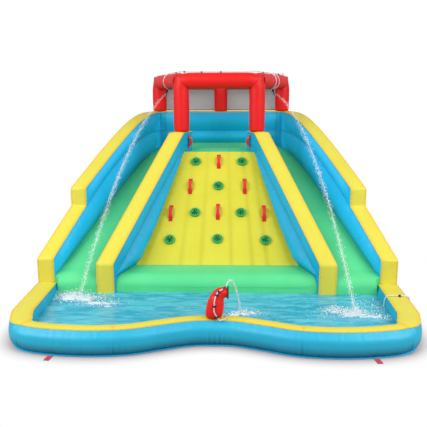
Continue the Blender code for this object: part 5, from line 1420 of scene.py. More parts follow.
POST_FOOT_Z = DIVIDER_TOP_Z + CAP_TOP + GAP
REAR_FOOT_Z = RIM_Z + CAP_TOP + GAP
front_points = (
    (-POST_X, POST_Y, POST_FOOT_Z),
    (-POST_X, POST_Y, FRONT_BEAM_Z),
    (POST_X, POST_Y, FRONT_BEAM_Z),
    (POST_X, POST_Y, POST_FOOT_Z),
)
rear_points = (
    (-REAR_POST_X, REAR_POST_Y, REAR_FOOT_Z),
    (-REAR_POST_X, REAR_POST_Y, REAR_BEAM_Z),
    (REAR_POST_X, REAR_POST_Y, REAR_BEAM_Z),
    (REAR_POST_X, REAR_POST_Y, REAR_FOOT_Z),
)
TUBE_FOLD = (0.0035, 0.055, 0.03)
TUBE_STEP = 0.012
# A tube that ends on another is cut a little outside it
CUT_R = TUBE_R * 1.01


def beam_ends(side):
    """Both ends of a side beam's middle line."""
    return (
        Vector((side * POST_X, POST_Y, FRONT_BEAM_Z)), Vector((side * REAR_POST_X, REAR_POST_Y, REAR_BEAM_Z))
    )


def on_beam(side, y):
    return mix(*beam_ends(side), (y - POST_Y) / (REAR_POST_Y - POST_Y))


for name, points, seed in (("front_arch", front_points, 101), ("rear_arch", rear_points, 103)):
    grid, seams = bent_tube(points, TUBE_R, TUBE_STEP, TUBE_R + 0.02)
    grid = tucked(grid, ((0, 1), (len(grid) - 1, -1)), 0.06, 0.05)
    made = skin(f"{name}_tube", grid, RED, seams_u=(0, *seams, len(grid) - 1), fold=TUBE_FOLD, seed=seed)
    stands_for(made, name)
for label, side in SIDES:
    grid, _ = bent_tube(beam_ends(side), TUBE_R * 0.98, TUBE_STEP, 0.0)
    grid = end_on(end_on(grid, front_points, CUT_R), rear_points, CUT_R)
    made = skin(
        f"side_beam_tube_{label}", grid, RED, seams_u=(0, len(grid) - 1), fold=TUBE_FOLD, seed=105 + side
    )
    stands_for(made, f"side_beam_{label}")
ends = ((0.0, REAR_POST_Y, REAR_FOOT_Z), (0.0, REAR_POST_Y, REAR_BEAM_Z))
grid, _ = bent_tube(ends, CENTRE_R, TUBE_STEP, 0.0)
grid = end_on(grid, rear_points[1:3], CUT_R)
made = skin("rear_centre_tube", grid, RED, seams_u=(0, len(grid) - 1), fold=TUBE_FOLD, seed=107)
stands_for(made, "rear_centre_post")


# Climbing holds: round shallow pockets whose covers are gathered to the middle in a twist
def climb_normal(along, x):
    rise = on_climb(along + 0.02, x) - on_climb(along - 0.02, x)
    across = on_climb(along, x + 0.02) - on_climb(along, x - 0.02)
    return across.cross(rise).normalized()


def node_place(node, normal, height):
    """The placing frame of a node whose box has its middle at a height over the frame's origin."""
    low, high = (Vector(v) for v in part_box(node))
    return frame_at((low + high) / 2 - Vector(normal) * height, normal, (1, 0, 0))


POCKET = (
    (0.057, -0.022), (0.063, -0.010), (0.0650, 0.000), (0.0648, 0.007), (0.0630, 0.0125),
    (0.0590, 0.0160), (0.0530, 0.0166), (0.046, 0.0146), (0.038, 0.0108), (0.029, 0.0072),
    (0.020, 0.0048), (0.012, 0.0036), (0.006, 0.0030), (0.0015, 0.0028),
)
POCKET_MID = 0.0156
profile = smooth_line(POCKET, 3)
brim = max(range(len(profile)), key=lambda k: profile[k][1])
number = 0
for along, places in HOLD_ROWS:
    for x in places:
        number += 1
        place = node_place(f"hold_{number}", climb_normal(along, x), POCKET_MID)
        dice = np.random.default_rng(200 + number)
        ways = 2 * math.pi * np.arange(84) / 84
        strength = 0.75 + 0.25 * np.sin(3 * ways + dice.random() * 6)
        grid, painted_crease_shade = [], []
        for k, (radius, height) in enumerate(profile):
            inner = ease((0.057 - radius) / 0.030) if k > brim else 0.0
            twist = 1.5 * inner
            wave = 0.5 + 0.5 * np.sin(5 * (ways + twist) + 0.9 * np.sin(2 * ways + number))
            depth = 0.010 * inner * min(1.0, radius / 0.012) * strength * (1 - wave) ** 2.2
            rim = (
                0.0015
                * folds(ways * 0.065, 0.018, 300 + number)
                * math.exp(-(((radius - 0.064) / 0.006) ** 2))
            )
            ring = [
                ((radius - r) * math.cos(a), (radius - r) * math.sin(a), height - d)
                for a, d, r in zip(ways, depth, rim)
            ]
            grid.append([place @ Vector(spot) for spot in ring])
            # Painted shade: the twisted creases, the inside of the bowl and its middle are darkened through
            # the seam values, in the hold green's near-black third colour
            groove = 0.034 * inner * strength * (1 - wave) ** 2.0
            painted_crease_shade.append(np.clip(0.017 - 0.003 * inner - groove - 0.016 * (radius < 0.010), 0.0, 0.03))
        made = skin(
            f"hold_pocket_{number}", grid, HOLD_GREEN, seams_v=(), fold=NO_FOLD, seed=number, sharp=70.0
        )
        layer = made.data.attributes["seam"]
        layer.data.foreach_set("value", np.asarray(painted_crease_shade, np.float32).ravel())
        stands_for(made, f"hold_{number}")


# Handles of webbing
def strap(name, node, place, length, sink=0.006, grip_t=0.0085, grip_w=0.45, lower=0.0, end_t=0.0030):
    """A handle with flat sewn ends, sunk into the wall, and a grip folded narrow.

    grip_t and grip_w are the thickness and the share of the width at the grip, and end_t is the thickness
    at the ends. lower brings the grip closer to the wall.
    """
    half, flat = length / 2, length / 2 - STRAP_END
    rising = ((-half, 0.0), (-flat - 0.012, 0.0), (-flat, 0.002), (-flat * 0.62, STRAP_RISE * 0.74))
    falling = tuple((-along, height) for along, height in rising[::-1])
    line = smooth_line((*rising, (0.0, STRAP_RISE), *falling), 8)
    sides = 20
    rings = []
    for k, (along, height) in enumerate(line):
        before, after = line[max(k - 1, 0)], line[min(k + 1, len(line) - 1)]
        slope = Vector((0, after[0] - before[0], after[1] - before[1])).normalized()
        up_way = Vector((1, 0, 0)).cross(slope)
        grip = 1 - ease((abs(along) - flat * 0.25) / (flat * 0.75))
        half_wide = mix(STRAP_W / 2 + 0.003, STRAP_W * grip_w, grip)
        thick = mix(end_t, grip_t, grip)
        drop = sink * ease((abs(along) - flat * 0.75) / (flat * 0.25))
        ring = []
        for n in range(sides):
            a = 2 * math.pi * n / sides
            x = half_wide * math.copysign(abs(math.cos(a)) ** 0.45, math.cos(a))
            z = thick / 2 * math.copysign(abs(math.sin(a)) ** 0.7, math.sin(a)) + thick / 2 + 0.0008
            ring.append(place @ (Vector((x, along, height - drop - lower * grip)) + up_way * z))
        rings.append(ring)
    made = skin(name, rings, WEBBING, seams_v=(), fold=NO_FOLD, sharp=60.0)
    stands_for(made, node)
    for end in (-1, 1):
        low, high = sorted((end * (flat + 0.005), end * (half - 0.003)))
        for inset in (0.0, 0.006) if end < 0 else (0.0,):
            corner, far = (
                (-STRAP_W / 2 + 0.004 + inset, low + inset), (STRAP_W / 2 - 0.004 - inset, high - inset)
            )
            strap_stitches.box(place, corner, far, 0.0012 + end_t - sink)


number = 0
for along, places in STRAP_ROWS:
    for x in places:
        number += 1
        node = f"climb_handle_{number}"
        strap(f"climb_strap_{number}", node, node_place(node, climb_normal(along, x), STRAP_T / 2), STRAP_L)
divider_lean = math.atan2(DIVIDER_FRONT_X - DIVIDER_BACK_X, DIVIDER_BACK_Y - DIVIDER_FRONT_Y)
for label, side in SIDES:
    out = Vector((-side * math.cos(divider_lean), -math.sin(divider_lean), 0.0))
    spot = Vector((side * divider_inner_x(POST_Y), POST_Y, ENTRY_STRAP_Z)) + out * GAP
    place = frame_at(spot, out, (0, 0, 1)) @ Matrix.Rotation(math.pi / 2, 4, "Z")
    shape = {"sink": 0.0, "grip_t": 0.030, "grip_w": 0.50, "lower": 0.018, "end_t": 0.009}
    strap(f"entry_strap_{label}", f"entry_handle_{label}", place, ENTRY_STRAP_L, **shape)

# Base sheet, with a red webbing loop and an eyelet on each anchor tab
SHEET_IN = 0.010
TAB_W = 0.05
TAB_REACH = 0.075
sheet_top = SHEET_T * 0.7
SIDE_TAB_Y = mix(WALL_FRONT_Y, WALL_BACK_Y - SHEET_IN, 0.45)
# The solid's own stations along the pool's tube
pool_line = path_frames(pool_path(40))
coarse = [(p + n * (POOL_FOOT_W / 2 - SHEET_IN), n) for p, n in pool_line[:-1]]
line = [(p + n * (POOL_FOOT_W / 2 - SHEET_IN), n, 0.0) for p, n in pool[:-1:12]]
for x in (-1.5, 1.5):
    spot, normal = min(coarse, key=lambda found: (found[0] - Vector((x, POOL_LOBE_Y, 0.0))).length)
    k = min(range(len(line)), key=lambda n: (line[n][0] - spot).length)
    line[k] = (spot, normal, (POOL_TUBE_W - POOL_FOOT_W) / 2 + SHEET_IN)
lean = Vector((WALL_BACK_Y - WALL_FRONT_Y, WALL_FRONT_X - WALL_BACK_X, 0.0)).normalized()
edge_side = []
for y in (WALL_FRONT_Y, SIDE_TAB_Y, WALL_BACK_Y - SHEET_IN):
    spot = Vector((wall_outer_x(y) - SHEET_IN, y, 0.0))
    edge_side.append((spot, lean, WALL_BULGE + SHEET_IN if y == SIDE_TAB_Y else 0.0))
edge_side.append(
    (
        Vector((WALL_BACK_X - 0.12, WALL_BACK_Y - SHEET_IN, 0.0)),
        Vector((0.0, 1.0, 0.0)),
        WALL_BULGE + SHEET_IN,
    )
)
mirrored = [(Vector((-p.x, p.y, p.z)), Vector((-n.x, n.y, n.z)), tab) for p, n, tab in edge_side[::-1]]
outline, tabs = [], []
for point, normal, tab in line + edge_side + mirrored:
    if not tab:
        outline.append(point)
        continue
    along = Vector((-normal.y, normal.x, 0.0))
    tabs.append((point, normal, tab))
    for way, far in ((-1, 0), (-1, 1), (1, 1), (1, 0)):
        outline.append(point + along * way * TAB_W / 2 + normal * far * (tab + TAB_REACH))
work = bmesh.new()
flat_face = work.faces.new([work.verts.new(p) for p in outline])
raised = bmesh.ops.extrude_face_region(work, geom=[flat_face])
upper = [v for v in raised["geom"] if isinstance(v, bmesh.types.BMVert)]
bmesh.ops.translate(work, vec=(0, 0, sheet_top), verts=upper)
level_edges = [e for e in work.edges if abs(e.verts[0].co.z - e.verts[1].co.z) < 1e-6]
bmesh.ops.bevel(work, geom=level_edges, offset=0.0012, segments=2, affect="EDGES")
bmesh.ops.triangulate(work, faces=[f for f in work.faces if len(f.verts) > 4])
data = bpy.data.meshes.new("sheet")
work.to_mesh(data)
work.free()
points = [tuple(v.co) for v in data.vertices]
faces = [tuple(f.vertices) for f in data.polygons]
corner_uv = [points[i][:2] for f in faces for i in f]
sheet = mesh_of("ground_sheet", points, faces, SHEET_BLUE, corner_uv, [0.05] * len(points))
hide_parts("base_sheet")
# Radius and height round the section of a pressed eyelet
EYELET = (
    (0.0055, -0.0028), (0.0055, 0.0008), (0.0065, 0.0016), (0.0085, 0.0016),
    (0.0098, 0.0006), (0.0098, -0.0004), (0.0065, -0.0006), (0.0065, -0.0028),
)
for n, (point, normal, tab) in enumerate(tabs):
    place = frame_at(point + Vector((0, 0, sheet_top)), (0, 0, 1), normal)
    grid = []
    parts, sides = 24, 16
    for k in range(parts + 1):
        t = k / parts
        reach = tab - 0.02 + (TAB_REACH + 0.0185) * t
        thick = 0.0028 if reach > tab + 0.024 else 0.0014
        ring = []
        for m in range(sides):
            a = 2 * math.pi * m / sides
            y = 0.0235 * math.copysign(abs(math.cos(a)) ** 0.35, math.cos(a))
            z = thick / 2 * (1 + math.copysign(abs(math.sin(a)) ** 0.7, math.sin(a))) + 0.0002
            ring.append(place @ Vector((reach, y, z)))
        grid.append(ring)
    made = skin(f"anchor_tab_{n}", grid, WEBBING, seams_v=(), fold=NO_FOLD, sharp=60.0)
    strap_stitches.box(place, (tab + 0.028, -0.018), (tab + TAB_REACH - 0.006, 0.018), 0.003)
    eyelet = frame_at(place @ Vector((tab + 0.050, 0, 0.003)), (0, 0, 1), normal)
    turned(f"tab_eyelet_{n}", EYELET, eyelet, STEEL, looped=True, sides=32)

# Welded flange round the foot of the pool tube
FLANGE = (
    (-0.006, 0.0064), (0.012, 0.0048), (0.027, 0.0046), (0.029, 0.0056),
    (0.027, 0.0066), (0.012, 0.0074), (0.002, 0.0094), (-0.006, 0.012),
)
foot = POOL_FOOT_W / 2
rings = []
for point, normal in pool:
    rings.append([point + normal * (foot + s) + Vector((0, 0, z)) for s, z in FLANGE])
made = skin("pool_foot_flange", rings, FLANGE_BLUE, seams_v=(), fold=NO_FOLD, sharp=60.0)

# Safety net: a fine knotless net between taped edges.
# Its real mesh of 4 mm is drawn 8 mm wide, the finest that shows
NET_PITCH = 0.008
NET_CORD, NET_CORD_T = 0.0048, 0.0016
NET_TAPE_W, NET_TAPE_T = 0.014, 0.0034
low, high = (Vector(v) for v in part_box("safety_net"))
net_y = (low.y + high.y) / 2
net_z = (low.z + high.z) / 2
wide, tall = high.x - low.x, high.z - low.z


def net_bars(name, bars, width, thick, material):
    """Straight bars, each given by its middle, its way and its length."""
    points, aims, lengths = zip(*bars)
    sizes = [(length, width, thick) for length in lengths]
    return repeated(name, "bar", points, aims, [(0, 1, 0)] * len(bars), sizes, material)


columns, rows = int(wide / NET_PITCH), int(tall / NET_PITCH)
bars = [((low.x + n * wide / columns, net_y, net_z), (0, 0, 1), tall) for n in range(1, columns)]
bars += [((0.0, net_y + 0.0004, low.z + n * tall / rows), (1, 0, 0), wide) for n in range(1, rows)]
net = net_bars("safety_net_cords", bars, NET_CORD, NET_CORD_T, NETTING)
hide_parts("safety_net")
edge = NET_TAPE_W / 2
bars = [((0.0, net_y, z), (1, 0, 0), wide) for z in (low.z + edge, high.z - edge)]
bars += [((x, net_y, net_z), (0, 0, 1), tall) for x in (low.x + edge, high.x - edge)]
tape = net_bars("safety_net_tape", bars, NET_TAPE_W, NET_TAPE_T, NET_TAPE)

# Water cannon: a bent air tube of four gores, gathered at its bends.
# Its stations have their shares of reach and rise, their radius and their lean in degrees
CANNON_LINE = np.array(
    (
        (0.0, 0.0, CANNON_BASE_R, 0),
        (0.05, 0.10, mix(CANNON_BASE_R, CANNON_BELLY_R, 0.7), 2),
        (0.11, 0.33, CANNON_BELLY_R, 6),
        (0.18, 0.56, mix(CANNON_BELLY_R, CANNON_MOUTH_R, 0.12), 13),
        (0.30, 0.78, mix(CANNON_BELLY_R, CANNON_MOUTH_R, 0.32), 28),
        (0.50, 0.955, mix(CANNON_BELLY_R, CANNON_MOUTH_R, 0.60), 54),
        (0.75, 1.01, mix(CANNON_BELLY_R, CANNON_MOUTH_R, 0.85), 78),
        (1.0, 1.0, CANNON_MOUTH_R, 90),
    )
)
CANNON_PARTS = len(CANNON_LINE) - 1


def cannon_place(t):
    """Centre, radius and directions of the cannon at a share of its length, on a smooth line."""
    spot = t * CANNON_PARTS
    k = min(int(spot), CANNON_PARTS - 1)
    reach, rise, radius, lean = on_curve(*curve_stretches(CANNON_LINE)[k], spot - k)
    centre = Vector((reach * CANNON_REACH, CANNON_Y, CANNON_Z + rise * CANNON_RISE))
    lean = math.radians(lean)
    return (
        centre,
        radius,
        Vector((math.sin(lean), 0, math.cos(lean))),
        Vector((math.cos(lean), 0, -math.sin(lean))),
    )


CANNON_RINGS, CANNON_SIDES = 112, 64
ways = 2 * math.pi * np.arange(CANNON_SIDES) / CANNON_SIDES
grid = []
for k in range(CANNON_RINGS):
    t = k / (CANNON_RINGS - 1)
    centre, radius, along, across = cannon_place(t)
    radius -= 0.006 * math.exp(-t / 0.02)
    grid.append([centre + across * radius * math.cos(a) + Vector((0, radius * math.sin(a), 0)) for a in ways])
cannon = skin(
    "cannon_tube",
    grid,
    RED,
    seams_v=(0, 16, 32, 48),
    seams_u=(0, 66, 86, 104),
    fold=(0.0032, 0.034, 0.018),
    seed=121,
    body="cannon",
)
# Painted shade: the lower third of the cannon darkens towards the band it stands on, in the red's third
# colour
paint_shade(cannon, lambda x, y, z: 1.1 * (CANNON_Z + 0.30 * CANNON_RISE - z) / (0.30 * CANNON_RISE))
stands_for(cannon, "water_cannon")
mouth, _, along, _ = cannon_place(1.0)
for n, angle in enumerate((80, 200, 320)):
    a = math.radians(angle)
    way = Vector((0, math.cos(a), math.sin(a)))
    spot = frame_at(mouth + along * 0.006 + way * 0.056, way, along)
    snap = ((0.007, 0.0), (0.0075, 0.002), (0.0075, 0.0055), (0.006, 0.0075))
    turned(f"mouth_snap_{n}", snap, spot, BLACK, sides=20, body="cannon")

# Hoses: smooth curves along the routes of the solids
off = HOSE_R + 0.002
HOSE_STEP = 0.012
PORT_LEADS = (0.012, 0.028)


def hose(name, node, points, material, body="park", lowest=lambda place: 0.0, turning=None):
    """A clear hose that goes from a fitting back into the object.

    turning is a body, and the start and end of a stretch; when it is given, the hose is made a mesh attached
    to no body, and these are not used.
    """
    points = [Vector(p) for p in points]
    stretches = curve_stretches(points)
    route = []
    for k, four in enumerate(stretches):
        # Each end leaves its fitting straight
        count = (
            1 if k in (0, len(stretches) - 1) else max(2, math.ceil((four[2] - four[1]).length / HOSE_STEP))
        )
        route += [on_curve(*four, n / count) for n in range(count)]
    route.append(points[-1])
    for place in route:
        place.z = max(place.z, lowest(place))
    curve = bpy.data.curves.new(name, "CURVE")
    curve.dimensions = "3D"
    curve.bevel_depth = HOSE_R
    curve.bevel_resolution = 4
    curve.use_fill_caps = True
    spline = curve.splines.new("POLY")
    spline.points.add(len(route) - 1)
    for point, place in zip(spline.points, route):
        point.co = (*place, 1.0)
    spline.use_smooth = True
    curve.materials.append(material)
    made = put(name, curve)
    if turning:
        bpy.context.view_layer.update()
        mesh = bpy.data.meshes.new_from_object(made.evaluated_get(bpy.context.evaluated_depsgraph_get()))
        bpy.data.objects.remove(made)
        made = put(name, mesh)
    else:
        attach(made, body)
    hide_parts(node)
    if turning:
        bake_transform(made)
    return route


def flat_cannon_place(t):
    """The cannon as the solid has it, straight between its stations, which the hose follows."""
    spot = t * CANNON_PARTS
    k = min(int(spot), CANNON_PARTS - 1)
    reach, rise, radius, lean = CANNON_LINE[k] + (CANNON_LINE[k + 1] - CANNON_LINE[k]) * (spot - k)
    lean = math.radians(lean)
    centre = Vector((reach * CANNON_REACH, CANNON_Y, CANNON_Z + rise * CANNON_RISE))
    return centre, radius, Vector((math.cos(lean), 0, -math.sin(lean)))


route = []
for t, angle in (
    (0.06, -58), (0.16, -70), (0.30, -92), (0.45, -100), (0.60, -112), (0.75, -130), (0.90, -150)
):
    at, radius, across = flat_cannon_place(t)
    a = math.radians(angle)
    route.append(at + (across * math.cos(a) + Vector((0, math.sin(a), 0))) * (radius * 1.02 + off))
FOOT_ANGLE = math.radians(-57)
foot_r = CANNON_BELLY_R + 3 * off
foot_dir = Vector((math.cos(FOOT_ANGLE), math.sin(FOOT_ANGLE), 0))
foot_mid = Vector((0.0, CANNON_Y, CANNON_Z + HOSE_R + 0.002))
route[0] = foot_mid + foot_dir * (foot_r - 0.012) + Vector((0, 0, 0.002))
route[0:0] = [foot_mid + foot_dir * foot_r, foot_mid + foot_dir * (foot_r - 0.005)]
cannon_route = hose("cannon_hose_line", "cannon_hose", route, HOSE_CLEAR, body="cannon")

HOSE_LOW = SHEET_T + HOSE_R + 2 * GAP


def hose_rest(place):
    on_sheet = place.x < POOL_ARM_X and place.y < WALL_FRONT_Y
    over_tab = abs(place.y - SIDE_TAB_Y - TAB_W / 2) < TAB_W * 1.3
    return HOSE_LOW if on_sheet or over_tab else HOSE_R + GAP


inside = POOL_TUBE_W / 2 + 2 * off
route = [foot_mid + foot_dir * (foot_r + d) for d in (0.0015, 0.006, 0.012)]
for angle in (-34, 5, 40, 68):
    a = math.radians(angle)
    route.append(foot_mid + Vector((math.cos(a), math.sin(a), 0)) * (foot_r + 0.022))
for x, depth in ((0.045, 0.80), (0.050, 0.45)):
    route.append(Vector((x, POOL_NOTCH_Y + inside, POOL_H * depth)))
route.append(Vector((0.075, POOL_NOTCH_Y + inside, HOSE_LOW + 0.010)))
for k in range(22, 34, 2):
    point, normal = pool_line[k]
    route.append(point - normal * inside + Vector((0, 0, HOSE_LOW)))
CROSS_Y = -0.40
tube_side = POOL_TUBE_W / 2 + off
for across, z, shift in (
    (-tube_side - 0.012, HOSE_LOW + 0.02, -0.07),
    (-tube_side - 0.004, POOL_H * 0.5, -0.02),
    (-tube_side, POOL_H * 0.82, 0.0),
    (-POOL_BAND_ARM / 2 - off, POOL_H + CAP_TOP * 0.6, 0.0),
    (-POOL_BAND_ARM / 2 * 0.7, POOL_H + CAP_TOP + off + 0.001, 0.0),
    (0.0, POOL_H + CAP_TOP + off + 0.002, 0.0),
    (POOL_BAND_ARM / 2 * 0.7, POOL_H + CAP_TOP + off + 0.001, 0.0),
    (POOL_BAND_ARM / 2 + off, POOL_H + CAP_TOP * 0.6, 0.0),
    (tube_side, POOL_H * 0.82, 0.0),
    (tube_side + 0.004, POOL_H * 0.5, 0.02),
    (tube_side + 0.002, HOSE_LOW + 0.01, 0.07),
):
    route.append(Vector((POOL_ARM_X + across, CROSS_Y + shift, z)))
wall_clear = WALL_BULGE + 2 * off
arm_out = POOL_ARM_X + POOL_TUBE_W / 2 + off + 0.002
GROUND_YS = (
    CROSS_Y + 0.2, 0.1, 0.7, SIDE_TAB_Y - 0.12, SIDE_TAB_Y + TAB_W / 2, SIDE_TAB_Y + 0.16, 2.0, 2.5, 2.85
)
for y in GROUND_YS:
    x = arm_out if y < WALL_FRONT_Y + 0.1 else min(arm_out, wall_outer_x(y) + wall_clear)
    route.append(Vector((x, y, HOSE_R + GAP)))
TEE = Vector((1.06, 3.03, 0.05))
for reach in (0.060, 0.040, 0.030 + 2 * GAP):
    route.append(TEE + Vector((reach, 0, 0)))
# The loop at the foot starts at the cannon and dips into the pool; the hose is attached to no body
turn_from = route[0]
turn_way = Vector((1, 1, -1)).normalized()
turning = ("cannon", turn_from, turn_from + turn_way * (route[6] - turn_from).dot(turn_way))
pool_route = hose("pool_hose_line", "pool_hose", route, HOSE_CLEAR, lowest=hose_rest, turning=turning)

SPRAY_Y = 2.25
SPRAY_ANGLE = math.radians(-70)
SPRAY_BLOCK = (0.024, 0.030, 0.018)
SPRAY_REACH = 0.072
HOSE_LEAD = 0.18
# The hose comes down round the side beam beside each mount
ROUND_ANGLES = (70, 35, 0, -35)
ROUND_SHIFT = 0.07
beam_off = TUBE_R + off
sprayers = {}
for _, side in SIDES:
    front, rear = beam_ends(side)
    at = on_beam(side, SPRAY_Y)
    along = (rear - front).normalized()
    out = along.cross(Vector((0, 0, 1))).normalized() * side
    lift = out.cross(along).normalized() * side
    lift = lift if lift.z > 0 else -lift
    away = out * math.cos(SPRAY_ANGLE) + lift * math.sin(SPRAY_ANGLE)
    sprayers[side] = (at, along, out, lift, at + away * (TUBE_R * 0.98 + GAP), away)


def round_beam(side, angles, shift):
    at, along, out, lift, *_ = sprayers[side]
    ways = [math.radians(a) for a in angles]
    return [at + along * shift + (out * math.cos(a) + lift * math.sin(a)) * beam_off for a in ways]


def port_lead(side, end):
    """Points of a hose that leaves a port of a spray mount straight."""
    _, along, _, _, seat, away = sprayers[side]
    port = seat + away * SPRAY_BLOCK[2] * 0.5 + along * end * (SPRAY_BLOCK[1] / 2 + GAP)
    return [port] + [port + along * end * reach for reach in PORT_LEADS]


def along_beam(side, y):
    return on_beam(side, y) + Vector((0, 0, beam_off))


rear_clear = WALL_BACK_Y + BACK_BULGE + off + 0.004
riser_route = hose(
    "riser_hose_line",
    "riser_hose",
    [
        TEE + Vector((0, 0, 0.035 + GAP)),
        TEE + Vector((0, 0, 0.09)),
        (TEE.x - 0.05, rear_clear, 0.40),
        (0.97, rear_clear, 0.9),
        (0.95, rear_clear, 1.4),
        (0.94, rear_clear, 1.9),
        (REAR_POST_X + 0.02, REAR_POST_Y + beam_off + 0.012, 2.12),
        (REAR_POST_X + 0.02, REAR_POST_Y + beam_off + 0.004, 2.35),
        (REAR_POST_X + 0.015, REAR_POST_Y + beam_off * 0.86, REAR_BEAM_Z + beam_off * 0.78),
        (REAR_POST_X, REAR_POST_Y - 0.02, REAR_BEAM_Z + beam_off + 0.012),
        along_beam(1, REAR_POST_Y - 0.15),
        along_beam(1, SPRAY_Y + HOSE_LEAD),
        *round_beam(1, ROUND_ANGLES, ROUND_SHIFT),
        *port_lead(1, 1)[::-1],
    ],
    HOSE_CLEAR,
)
top_z = FRONT_BEAM_Z + beam_off
frame_hose_route = hose(
    "frame_hose_line",
    "frame_hose",
    [
        *port_lead(1, -1),
        *round_beam(1, ROUND_ANGLES[::-1], -ROUND_SHIFT),
        along_beam(1, SPRAY_Y - HOSE_LEAD),
        along_beam(1, POST_Y + HOSE_LEAD),
        (POST_X - 0.02, POST_Y + 0.01, top_z + 0.004),
        (POST_X - 0.20, POST_Y - 0.01, top_z),
        (0.0, POST_Y - 0.015, top_z + 0.001),
        (0.20 - POST_X, POST_Y - 0.01, top_z),
        (0.02 - POST_X, POST_Y + 0.01, top_z + 0.004),
        along_beam(-1, POST_Y + HOSE_LEAD),
        along_beam(-1, SPRAY_Y - HOSE_LEAD),
        *round_beam(-1, ROUND_ANGLES, -ROUND_SHIFT),
        *port_lead(-1, -1)[::-1],
    ],
    HOSE_CLEAR,
)


# Ties that hold the hoses: black webbing round the hose, sewn down through a short tab
def tie(name, route, spot, out, body="park", wide=0.016):
    """A tie round a hose at the route's point nearest to a spot, its tab away from out."""
    k = min(range(1, len(route) - 1), key=lambda n: (route[n] - Vector(spot)).length)
    along = (route[k + 1] - route[k - 1]).normalized()
    place = frame_at(route[k], along, out)
    inner, outer = HOSE_R + 0.0006, HOSE_R + 0.0030
    points, faces = [], []
    sides, corners = 28, 5
    for n in range(sides):
        a = 2 * math.pi * n / sides
        tail = 0.004 * math.exp(-(((a - math.pi) / 0.5) ** 2))
        far = outer + tail
        ring = ((inner, -wide / 2), (far, -wide / 2), (far + 0.0004, 0.0), (far, wide / 2), (inner, wide / 2))
        points += [place @ Vector((r * math.cos(a), r * math.sin(a), z)) for r, z in ring]
    for n in range(sides):
        m = (n + 1) % sides
        for k in range(corners):
            j = (k + 1) % corners
            faces.append((n * corners + k, n * corners + j, m * corners + j, m * corners + k))
    base = len(points)
    tab = [
        (-outer - 0.0015, -0.021),
        (-outer - 0.0015, 0.021),
        (-outer + 0.0012, 0.019),
        (-outer + 0.0012, -0.019),
    ]
    for z in (-wide * 0.62, wide * 0.62):
        points += [place @ Vector((x, y, z)) for x, y in tab]
    faces += [(base, base + 1, base + 2, base + 3), (base + 7, base + 6, base + 5, base + 4)]
    faces += [(base + k, base + 4 + k, base + 4 + (k + 1) % 4, base + (k + 1) % 4) for k in range(4)]
    made = mesh_of(name, points, faces, BLACK_WEB, sharp=40.0, body=body)


for n, (t, angle) in enumerate(((0.16, -70), (0.43, -99), (0.66, -118), (0.88, -148))):
    at, radius, across = flat_cannon_place(t)
    a = math.radians(angle)
    way = across * math.cos(a) + Vector((0, math.sin(a), 0))
    tie(f"cannon_tie_{n}", cannon_route, at + way * (radius + off), way, body="cannon")
for n, x in enumerate((-0.455, -0.225, 0.02)):
    tie(f"beam_tie_{n}", frame_hose_route, (x, POST_Y, top_z), (0, 0, 1))
side_ties = ((1, 1.93, frame_hose_route), (-1, 1.93, frame_hose_route), (1, 2.62, riser_route))
for n, (side, y, route) in enumerate(side_ties):
    tie(f"side_tie_{n}", route, along_beam(side, y), (0, 0, 1))
for n, z in enumerate((0.55, 1.10, 1.65, 2.20)):
    k = min(range(len(riser_route)), key=lambda m: abs(riser_route[m].z - z))
    tie(f"riser_tie_{n}", riser_route, riser_route[k], (0, 1, 0))
tie("arm_tie", pool_route, (POOL_ARM_X + 0.02, CROSS_Y, POOL_H + 0.03), (0, 0, 1), wide=0.022)
tip = cannon_route[-1]
tip_way = (cannon_route[-1] - cannon_route[-3]).normalized()
jet_way = mix(tip_way, Vector((0.62, 0.42, 0.66)).normalized(), 0.6)
JET_NOZZLE_L = 0.026
turned(
    "cannon_jet_nozzle",
    ((0.0085, -0.010), (0.0085, 0.004), (0.0070, 0.008), (0.0052, 0.024), (0.0040, JET_NOZZLE_L)),
    frame_at(tip, jet_way, (0, 0, 1)),
    BLACK,
    sides=24,
    body="cannon",
)


# Inflation tube: a gathered cloth sleeve from the wall to the blower's collar, tied on with webbing
low, high = (Vector(v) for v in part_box("inflation_tube"))
middle = (low + high) / 2
tube_r = (high.x - low.x) / 2 - 0.006
inner_r = tube_r - 0.004
TIE_AT = 0.90
rows, sides = 90, 120
ways = 2 * math.pi * np.arange(sides) / sides
points = []
for n in range(rows):
    t = n / (rows - 1)
    y = mix(low.y, high.y, t)
    slack = math.sin(math.pi * min(1.0, t * 1.05)) ** 0.7
    pinch = 0.004 * math.exp(-(((t - TIE_AT) / 0.035) ** 2))
    ring = 0.0024 * folds(np.array([y]), 0.034, 401)[0]
    pleat = 0.0030 * folds(ways * tube_r + 0.02 * math.sin(9 * t), 0.026, 402) * (0.35 + 0.65 * t)
    radius = tube_r + 0.006 * slack - (ring + pleat) * slack - pinch
    points += [(middle.x + r * math.cos(a), y, middle.z + r * math.sin(a)) for r, a in zip(radius, ways)]
for n in range(rows):
    y = mix(high.y, low.y, n / (rows - 1))
    points += [(middle.x + inner_r * math.cos(a), y, middle.z + inner_r * math.sin(a)) for a in ways]
faces, corner_uv = [], []
for k in range(2 * rows):
    j = (k + 1) % (2 * rows)
    for n in range(sides):
        m = (n + 1) % sides
        faces.append((k * sides + n, k * sides + m, j * sides + m, j * sides + n))
        u, w = (step * (high.y - low.y) / rows for step in (k, k + 1))
        v, x = (step * 2 * math.pi * tube_r / sides for step in (n, n + 1))
        corner_uv += [(u, v), (u, x), (w, x), (w, v)]
sleeve = mesh_of("inflation_sleeve", points, faces, YELLOW, corner_uv, [0.05] * len(points), sharp=60.0)
stands_for(sleeve, "inflation_tube")
tie_place = frame_at((middle.x, mix(low.y, high.y, TIE_AT), middle.z), (0, 1, 0), (0, 0, 1))
strap_in, strap_out = tube_r - 0.0045, tube_r + 0.0030
half = 0.0125
ring = ((strap_in, -half), (strap_out, -half), (strap_out + 0.0006, 0.0), (strap_out, half), (strap_in, half))
